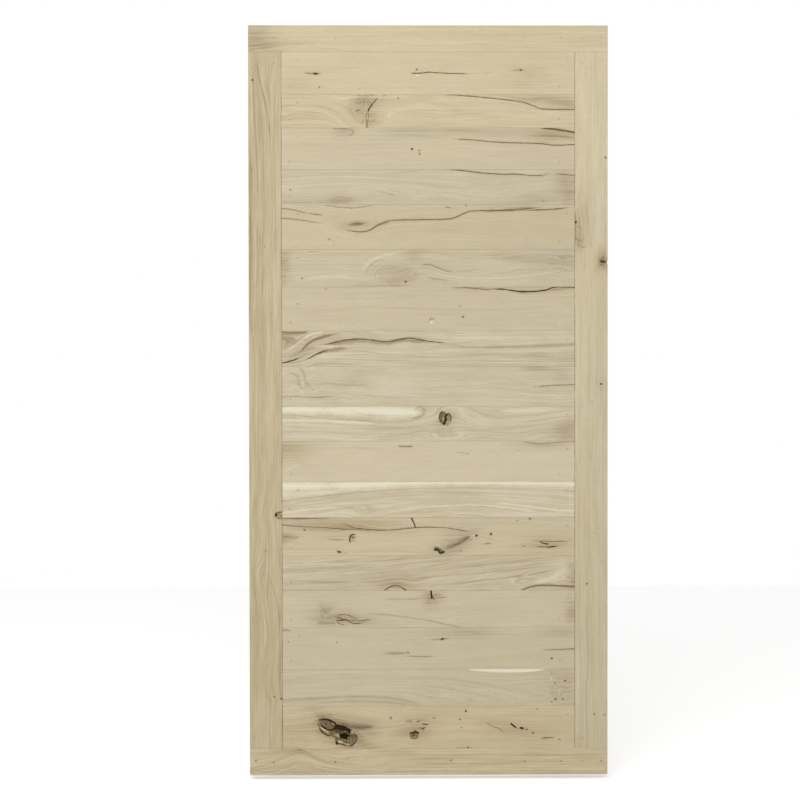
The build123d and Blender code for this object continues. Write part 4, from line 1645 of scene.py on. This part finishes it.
boardFourteen = {
    "node": "board_14", "seed": 14, "light": -0.065, "warm": 0.0, "figure": 0.9, "slope": 0.05,
    "joint": 0.4,
    "wave": 0.6,
    "cracks": [
        (2.0, 3, 0.9, (383, 591.6), (389, 587.6), (393.5, 585.9), (398.5, 585.9), (402, 587.6),
         (405.5, 590.6)),
        (2.0, 3, 0.6, (521, 591), (532.5, 586.4), (550, 585.4), (562, 586.2), (576, 586.8)),
    ],
    "veins": [
        ("brown", 8, 0.65, (522, 590), (533, 586.2), (550, 585), (578, 586.4)),
        ("brown", 6, 0.6, (383, 591), (391, 586.4), (400, 586.4), (408, 591)),
        ("brown", 4, 0.3, (320, 562.6), (360, 561.4), (400, 559.4), (430, 557.4), (452, 556)),
        ("brown", 3, 0.12, (282, 566), (330, 568), (380, 566), (440, 561), (500, 557)),
        ("brown", 3, 0.12, (282, 575), (340, 575), (400, 572), (460, 567), (520, 562), (574, 559)),
        ("brown", 4, 0.3, (300, 582), (360, 582), (420, 578), (480, 573), (540, 567)),
        ("brown", 4, 0.35, (420, 587.4), (460, 582.4), (510, 577.4), (560, 569.4)),
        ("brown", 4, 0.14, (380, 583), (392, 579.5), (402, 580.5), (410, 585)),
        ("pale", 14, 0.5, (532, 583.4), (548, 579), (562, 572), (571, 562)),
    ],
    "patches": [
        ("brown", 0.5, (574, 578), (16, 26), 0), ("brown", 0.35, (396, 584), (44, 15), 0),
        ("pale", 0.34, (562, 570), (34, 24), 40),
    ],
}
dressBoard(boardFourteen)

boardFifteen = {
    "node": "board_15", "seed": 15, "light": -0.01, "warm": -0.01, "figure": 0.3, "joint": 0.8,
    "fine": [(424, 590.5, 444, 604), (318, 606, 374, 626.5)],
    "cracks": [
        (4.6, 6, 1.0, (430.8, 589.4), (431.2, 593.6), (431.8, 599)),
        (2.4, 3, 0.75, (431.4, 594.6), (433, 597.2), (434.8, 600.6)),
        (1.9, 3, 0.9, (333.6, 615.4), (339, 617.8), (342, 619.2), (345, 619.8), (348, 620.6),
         (350.5, 622.3), (354, 623.4), (358, 623.4), (367, 622.4)),
        (2.4, 3, 0.9, (334.6, 621), (340, 620.6), (343, 620.3), (347.6, 619.2)),
        (1.4, 2, 0.75, (334, 615.6), (343, 614.6), (349, 615.5), (354, 617.5), (359, 619.2)),
        (1.6, 2, 0.8, (346, 620.2), (356, 620.6), (362, 620.8), (367, 619.8), (373, 619.6)),
        (1.6, 2, 0.7, (336, 621.6), (341, 624.2), (346, 625.6)),
    ],
    "veins": [
        ("brown", 6, 0.5, (380, 598.8), (405, 599.2), (426, 598.6)),
        ("brown", 5, 0.65, (434, 597), (441, 597.6), (449, 597)),
        ("brown", 7, 0.6, (426, 603), (429, 599), (431, 594)),
        ("brown", 6, 0.5, (438, 604), (435, 600), (432, 596)),
        ("brown", 4, 0.4, (353, 613.4), (366, 613.6), (385, 614.6), (410, 617.5), (430, 620.5),
         (445, 624.3), (460, 627)),
        ("brown", 6, 0.65, (314, 623), (326, 623.2), (336, 623.4)),
        ("brown", 4, 0.3, (305, 618), (320, 621), (345, 624)),
        ("brown", 3, 0.12, (540, 599.6), (565, 601.6)),
    ],
    "spots": [
        ("bare", (5, 7), 0, 0.4, (433.2, 593.6), 0), ("brown", (10, 6), 0.4, 0.6, (333.6, 623.4), 0),
    ],
    "patches": [
        ("brown", 0.6, (432, 597), (22, 16), 0), ("grey", 0.6, (326, 612), (18, 15), -25),
        ("grey", 0.45, (330, 618), (40, 18), 0),
        ("brown", 0.4, (348, 619.6), (50, 13), -6), ("brown", 0.4, (572, 612), (14, 28), 0),
    ],
    "knots": [((432, 596.4), (36, 26), 0.5)],
    "swirls": [((330, 615), (40, 22), 3)],
    "mottles": [
        ((326, 612), (13, 12), 24, ("brown", "grey", "dark", "pale")),
        ((330, 620), (22, 8), 12, ("brown", "grey")),
        ((432, 597), (14, 12), 14, ("brown", "brown", "pale")),
    ],
}
dressBoard(boardFifteen)

boardSixteen = {
    "node": "board_16", "seed": 16, "light": -0.03, "warm": -0.02, "figure": 0.26, "joint": 0.2,
    "cracks": [(0.7, 2, 0.85, (544, 650), (560, 649.4), (576, 648.6))],
    "veins": [
        ("brown", 5, 0.55, (279, 630), (292, 630.2)),
        ("brown", 5, 0.55, (380, 653.2), (400, 653.4), (411, 653)),
        ("brown", 4, 0.5, (402, 655.8), (420, 656.6), (438, 656.4)),
        ("brown", 4, 0.5, (428, 639.8), (452, 638.4)),
        ("brown", 3, 0.18, (465, 630), (478, 633), (486, 631)),
        ("brown", 3, 0.18, (540, 633), (553, 632.8)),
    ],
    "spots": [
        ("dark", (11, 5), 2.5, 0.85, (442.5, 639), 8), ("dark", (6, 4), 1.5, 0.8, (551.8, 658.4), 0),
        ("dark", (5, 3), 1.0, 0.7, (408, 652.8), 0),
    ],
    "specks": [(336.8, 642.5), (288.3, 642)],
    "patches": [("grey", 0.34, (470, 632), (60, 13), 0), ("brown", 0.24, (560, 632), (40, 10), 0)],
    "swirls": [((472, 632), (40, 14), 2)],
}
dressBoard(boardSixteen)

boardSeventeen = {
    "node": "board_17", "seed": 17, "light": -0.04, "warm": -0.01, "figure": 0.45, "joint": 0.3,
    "veins": [
        ("brown", 9, 0.3, (281, 700.9), (310, 699.3), (345, 697.7), (385, 698.3), (420, 704.6)),
        ("brown", 4, 0.22, (310, 703.6), (350, 701.6), (385, 702.1), (405, 704.6)),
        ("brown", 3, 0.12, (350, 692), (400, 692.5), (440, 699), (470, 704.5)),
        ("brown", 3, 0.14, (380, 684), (430, 686), (470, 693), (510, 702)),
        ("brown", 3, 0.12, (400, 677), (450, 679), (500, 687), (540, 697)),
        ("pale", 3, 0.25, (282, 675), (350, 673), (420, 674)),
    ],
    "spots": [
        ("bare", (212, 21), 0, 1.0, (507, 668.6), 0), ("pale", (212, 21), 0, 1.0, (507, 668.6), 0),
        ("brown", (6, 9), 0.5, 0.4, (551.5, 672.8), 20), ("dark", (4, 4), 1.5, 0.75, (555, 683), 0),
        ("dark", (7, 4), 1.5, 0.75, (565, 680.8), 0), ("dark", (7, 4), 1.5, 0.8, (555.5, 699), 0),
        ("dark", (5, 4), 1.5, 0.75, (563, 699), 0), ("dark", (4, 3), 1.5, 0.7, (551.5, 701.5), 0),
        ("pale", (6, 5), 0.4, 0.8, (551.4, 678.5), 0),
    ],
    "patches": [("brown", 0.2, (562, 688), (46, 44), 0)],
    "mottles": [((560, 686), (24, 32), 22, ("brown", "brown", "grey", "pale"))],
    "swirls": [((558, 688), (34, 34), 3)],
}
dressBoard(boardSeventeen)

boardEighteen = {
    "node": "board_18", "seed": 18, "light": -0.035, "warm": 0.05, "figure": 0.38, "joint": 0.25,
    "fine": [(311, 714.5, 374, 747.5), (404, 718.5, 431, 742)],
    "cracks": [
        # big knot: the upper rim, the dark bark line, the lower rim, the right lobe and the lines in it
        (2.0, 2, 0.6, (317, 722.2), (318.8, 720.4), (321.6, 719.6)),
        (5.2, 6, 1.0, (319.6, 719.6), (323, 719.4), (327, 719.7), (331, 721), (334.4, 722.9),
         (336.6, 725.6), (338.6, 728)),
        (4.2, 5, 1.0, (320.6, 724.6), (323, 727), (326, 729), (329, 730.2), (333, 729.5), (337, 727.6)),
        (8.4, 7, 1.0, (335, 727.4), (339.4, 727.8), (343, 727.2), (347, 728.8), (349.4, 731.2),
         (349.4, 734.4)),
        (3.2, 3, 0.95, (319, 726.6), (322, 732), (326.4, 735), (331, 736)),
        (3.0, 3, 0.95, (331.6, 735.4), (336.4, 737.4), (340, 739.5), (345, 742), (348.4, 742.8)),
        (3.0, 3, 0.95, (336.6, 743.4), (340, 744), (343, 744.6), (346, 745.8)),
        (3.0, 3, 0.95, (343, 744.6), (346, 745.9), (350, 746), (354, 743.6), (356.7, 740), (357, 737),
         (355.4, 734.5), (351.4, 733.6)),
        (2.6, 3, 0.85, (347.4, 736), (351, 736.3), (354.6, 736)),
        (2.0, 2, 0.75, (349.6, 737.6), (349.2, 740.6), (350, 743.8)),
        (1.8, 2, 0.7, (352.6, 737.6), (352.2, 740), (352.4, 742.8)),
        (1.6, 2, 0.55, (354.6, 735.4), (355, 739.4)),
        (2.8, 3, 0.8, (335.4, 737.4), (336.4, 740.4), (336.9, 743.4)),
        (1.8, 2, 0.7, (323, 721.6), (325.4, 725), (329, 727.6)),
        (1.8, 2, 0.6, (327, 721.6), (328.6, 724.6), (331.6, 727.4)),
        (1.8, 2, 0.7, (330.4, 722.6), (332, 725.6), (333.6, 728)),
        (1.8, 2, 0.6, (319.4, 722.8), (321.6, 723.4), (324, 722.4)),
        # small knot
        (5.2, 5, 1.0, (409.6, 733.6), (412.2, 733.2), (415, 732.6), (417, 732.4), (419, 733.6)),
        (1.8, 2, 0.7, (409.9, 732.6), (410.2, 736), (412.4, 738.6), (415.4, 738.7), (418, 736.8),
         (418.9, 733.8)),
        (2.0, 2, 0.75, (414.2, 729.8), (415.8, 731), (417, 732)),
        # short checks
        (2.2, 2, 0.6, (415.6, 721.9), (418.4, 721.4), (421, 721.6)),
        (3.6, 3, 0.8, (421.6, 723.6), (425.6, 724.4), (429.6, 724.4)),
        (2.6, 3, 0.8, (418, 727.4), (421.6, 728.2), (426.6, 727.2)),
        (2.4, 2, 0.75, (424.4, 727.6), (422.3, 730.6)),
        (1.0, 2, 0.4, (483.8, 720.6), (491, 725.8), (498.6, 728.4), (503, 733.6)),
        (3.6, 3, 0.95, (510.4, 723.4), (513, 725.4), (516.6, 728)),
        (2.0, 2, 0.85, (540, 738.3), (555, 737.5)),
    ],
    "veins": [
        ("grey", 12, 0.95, (340, 724), (350, 726.4), (360, 727.4), (366, 727.2), (374, 726.8)),
        ("brown", 9, 0.4, (346, 726.4), (356, 727.6), (366, 727.4), (373, 727)),
        ("dark", 8, 0.32, (349, 727), (357, 727.6), (365.6, 727.4)),
        ("grey", 5, 0.8, (348, 731.4), (355, 731.5), (361, 731)),
        ("dark", 5, 0.5, (324.4, 721.2), (326, 724.4), (327.4, 727)),
        ("dark", 5, 0.46, (329.4, 722), (331, 725), (332.2, 727.6)),
        ("dark", 4, 0.46, (353.6, 737), (353.4, 742)),
        # painted shadow: this brown line along the top of the big knot
        ("brown", 6, 0.5, (317, 718.6), (325, 717.3), (331, 718.6), (337, 722.4)),
        ("brown", 3, 0.6, (356.6, 737.7), (361, 737), (367, 736)),
        ("brown", 3, 0.45, (311, 728.4), (315, 729), (319, 730.2)),
        ("brown", 7, 0.75, (404, 721.6), (409, 721.3), (414, 721.8)),
        ("brown", 4, 0.5, (457, 748), (472, 748)),
        ("brown", 6, 0.45, (484, 721), (492, 726), (500, 729), (506, 735)),
        ("brown", 3, 0.2, (372, 729.4), (395, 726.4), (420, 727.4)),
        ("brown", 3, 0.16, (300, 726.4), (318, 720.6)),
    ],
    "spots": [
        ("grey", (52, 25), 3.0, 0.95, (326.4, 724.2), -34),
        ("dark", (52, 25), 3.0, 0.34, (326.4, 724.2), -34),
        ("grey", (24, 13), 2.0, 0.85, (320, 724), -62), ("bare", (7, 4), 0.3, 0.6, (320.4, 722), 20),
        ("bare", (10, 3.4), 0.3, 0.5, (322.6, 723), -57),
        ("bare", (10, 3.4), 0.3, 0.4, (328.6, 724.4), -62),
        ("bare", (14, 3.2), 0.3, 0.5, (351, 740.4), 88),
        ("dark", (26, 12), 3.0, 0.4, (330.4, 724.4), -40),
        ("grey", (30, 33), 2.0, 0.9, (351.4, 739.8), 0),
        ("dark", (30, 33), 2.0, 0.2, (351.4, 739.8), 0),
        ("dark", (27, 14), 2.0, 0.5, (353, 736.2), -10),
        ("brown", (50, 22), 5.0, 0.95, (341.4, 731.6), -10),
        # these two dark spots paint the shade of the knot's hollow over its dark wood
        ("dark", (47, 18), 6.0, 0.97, (341.6, 728.4), -7),
        ("dark", (42, 21), 5.0, 0.64, (342, 731.4), -10),
        ("grey", (13, 15), 2.0, 0.95, (332, 733.2), 0), ("dark", (12, 14), 2.0, 0.25, (332, 733.2), 0),
        ("brown", (11, 15), 2.0, 0.8, (337, 740), 0), ("dark", (9, 11), 2.0, 0.35, (336.8, 739.6), 0),
        ("bare", (25, 7), 0, 0.85, (324.8, 730), -37), ("bare", (11, 7), 0, 0.6, (338, 735), -40),
        ("bare", (5, 5), 0, 0.6, (345.4, 731.6), 0), ("bare", (8, 4), 0, 0.7, (352, 732.8), -20),
        ("bare", (16, 6.5), 0, 0.8, (340.8, 741.7), -20),
        ("bare", (10, 5), 0, 0.4, (318.8, 722.6), -30),
        ("bare", (8, 4), 0, 0.5, (348.4, 744.6), -20),
        ("brown", (30, 7), 1.0, 0.75, (325.6, 733.2), -34),
        ("dark", (14, 14), 2.0, 0.35, (331.6, 734.4), 0),
        ("dark", (26, 10), 2.0, 0.4, (345, 739.4), -20),
        ("dark", (24, 20), 13.0, 1.0, (344.2, 736.4), -8),
        ("dark", (10, 5), 6.0, 0.9, (348.4, 735.8), 0),
        ("dark", (8, 8), 5.0, 0.95, (336.8, 743.3), 0), ("dark", (4, 3), 1.0, 0.6, (315.6, 720.6), 60),
        ("brown", (25, 23), 3.0, 0.7, (414.3, 735.2), 0),
        ("dark", (24, 14), 3.0, 0.3, (414.4, 733.6), 0), ("dark", (6, 6), 4.0, 0.85, (413.8, 735.6), 0),
        ("dark", (9, 11), 2.0, 0.35, (417.4, 735), 0),
        ("brown", (13, 3.4), 0.3, 0.6, (330, 714.5), 0), ("dark", (5, 5), 2.0, 0.9, (465.8, 711), 0),
        ("dark", (5, 3), 1.5, 0.75, (460, 719.2), 0), ("brown", (6, 3), 0.6, 0.6, (461.5, 727.4), 0),
        ("dark", (6, 4), 1.5, 0.75, (390.8, 717.8), 0), ("brown", (7, 5), 0.8, 0.7, (433.9, 718), 0),
        ("dark", (12, 7), 2.5, 0.95, (521.8, 728.2), -10),
        ("dark", (5, 4), 1.5, 0.85, (526.8, 729.5), 0),
        ("dark", (6, 4), 1.5, 0.75, (533, 732.8), 0), ("brown", (7, 3), 0.3, 0.6, (559.5, 739), 0),
        ("dark", (5, 4), 1.5, 0.8, (468, 747.4), 0), ("brown", (7, 3), 0.3, 0.6, (537, 709.2), 0),
    ],
    "patches": [
        # the brown patch at (326, 717.6) and the dark patch at (328, 718.8) are painted shadow along the
        # knot's top
        ("brown", 0.68, (338, 731), (60, 27), -24), ("brown", 0.55, (326, 717.6), (26, 8), -6),
        ("dark", 0.2, (328, 718.8), (24, 7), -14),
        ("brown", 0.75, (340, 724), (26, 9), -14), ("brown", 0.35, (356, 727), (34, 15), -4),
        ("grey", 0.6, (358, 726.6), (40, 16), -4), ("dark", 0.3, (341, 732), (42, 22), -24),
        ("dark", 0.4, (340, 726), (24, 10), -12), ("dark", 0.3, (357, 727.4), (32, 7), -2),
        ("brown", 0.34, (415, 729), (36, 26), 0), ("brown", 0.2, (300, 730), (50, 34), 0),
        ("brown", 0.2, (512, 728), (64, 20), -10),
    ],
    "knots": [((338, 731), (90, 60), 0.6), ((414, 733.8), (34, 30), 0.6)],
    "mottles": [
        ((326, 724), (17, 8), 26, ("bare", "dark", "dark", "brown")),
        ((352, 739.6), (9, 10), 20, ("bare", "dark", "dark")),
        ((341, 732), (14, 8), 16, ("dark", "brown", "dark")),
        ((324.6, 731), (10, 5), 8, ("brown", "dark")),
        ((340, 742), (8, 4), 6, ("brown", "dark")),
        ((414.4, 735), (8, 7), 9, ("dark", "brown", "bare")),
    ],
}
dressBoard(boardEighteen)
print("boards dressed")


# Floor, light and a white surround

studio = {
    "floorDrop": 12 * mm,  # the leaf hangs this far above the floor
    "floorSize": 9.0,
    "floorTint": (0.93, 0.93, 0.925, 1.0),
    "floorGlow": 0.36,
    "keyPlace": (-1.05, -3.6, 1.2),
    "keyAim": (0.0, 0.0, -0.85),
    "keySize": (3.2, 2.4),
    "keyPower": 88.0,
    "surround": 0.6,  # strength of the light from all round
}


def seenShare(tree):
    # 1 where the camera looks, also by way of a shiny or clear surface, and 0 for other light
    path = tree.nodes.new("ShaderNodeLightPath")
    seen = mathNode(tree, "MAXIMUM", path.outputs["Is Camera Ray"], path.outputs["Is Glossy Ray"])
    return mathNode(tree, "MAXIMUM", seen, path.outputs["Is Transmission Ray"])


def makeFloor(setup):
    size = setup["floorSize"] / 2
    level = cadBox[0][2] - setup["floorDrop"]
    mesh = bpy.data.meshes.new("studioFloor")
    corners = [(-size, -size, level), (size, -size, level), (size, size, level), (-size, size, level)]
    mesh.from_pydata(corners, [], [(0, 1, 2, 3)])
    material = bpy.data.materials.new("palePaint")
    material.use_nodes = True
    tree = material.node_tree
    shader = tree.nodes["Principled BSDF"]
    shader.inputs["Base Color"].default_value = setup["floorTint"]
    shader.inputs["Roughness"].default_value = 0.9
    # the camera sees the floor as white as the background, with the shadow left on it
    seen = seenShare(tree)
    glow = tree.nodes.new("ShaderNodeEmission")
    plug(tree, glow.inputs["Strength"], mathNode(tree, "MULTIPLY", seen, setup["floorGlow"]))
    both = tree.nodes.new("ShaderNodeAddShader")
    tree.links.new(shader.outputs[0], both.inputs[0])
    tree.links.new(glow.outputs[0], both.inputs[1])
    tree.links.new(both.outputs[0], tree.nodes["Material Output"].inputs["Surface"])
    mesh.materials.append(material)
    floor = bpy.data.objects.new("studioFloor", mesh)
    bpy.context.scene.collection.objects.link(floor)


def makeLights(setup):
    data = bpy.data.lights.new("keyLight", "AREA")
    data.shape = "RECTANGLE"
    data.size, data.size_y = setup["keySize"]
    data.energy = setup["keyPower"]
    key = bpy.data.objects.new("keyLight", data)
    key.location = setup["keyPlace"]
    key.rotation_euler = (Vector(setup["keyAim"]) - key.location).to_track_quat("-Z", "Y").to_euler()
    bpy.context.scene.collection.objects.link(key)


def makeSurround(setup):
    world = bpy.data.worlds.new("studioSurround")
    bpy.context.scene.world = world
    world.use_nodes = True
    tree = world.node_tree
    light = tree.nodes["Background"]
    light.inputs["Strength"].default_value = setup["surround"]
    light.inputs["Color"].default_value = (1, 1, 1, 1)
    white = tree.nodes.new("ShaderNodeBackground")
    white.inputs["Color"].default_value = (1, 1, 1, 1)
    white.inputs["Strength"].default_value = 1.0
    seen = seenShare(tree)
    mix = tree.nodes.new("ShaderNodeMixShader")
    tree.links.new(seen, mix.inputs[0])
    tree.links.new(light.outputs[0], mix.inputs[1])
    tree.links.new(white.outputs[0], mix.inputs[2])
    tree.links.new(mix.outputs[0], tree.nodes["World Output"].inputs["Surface"])


makeFloor(studio)
makeLights(studio)
makeSurround(studio)
bpy.context.scene.view_settings.view_transform = "Standard"
print("studio set")
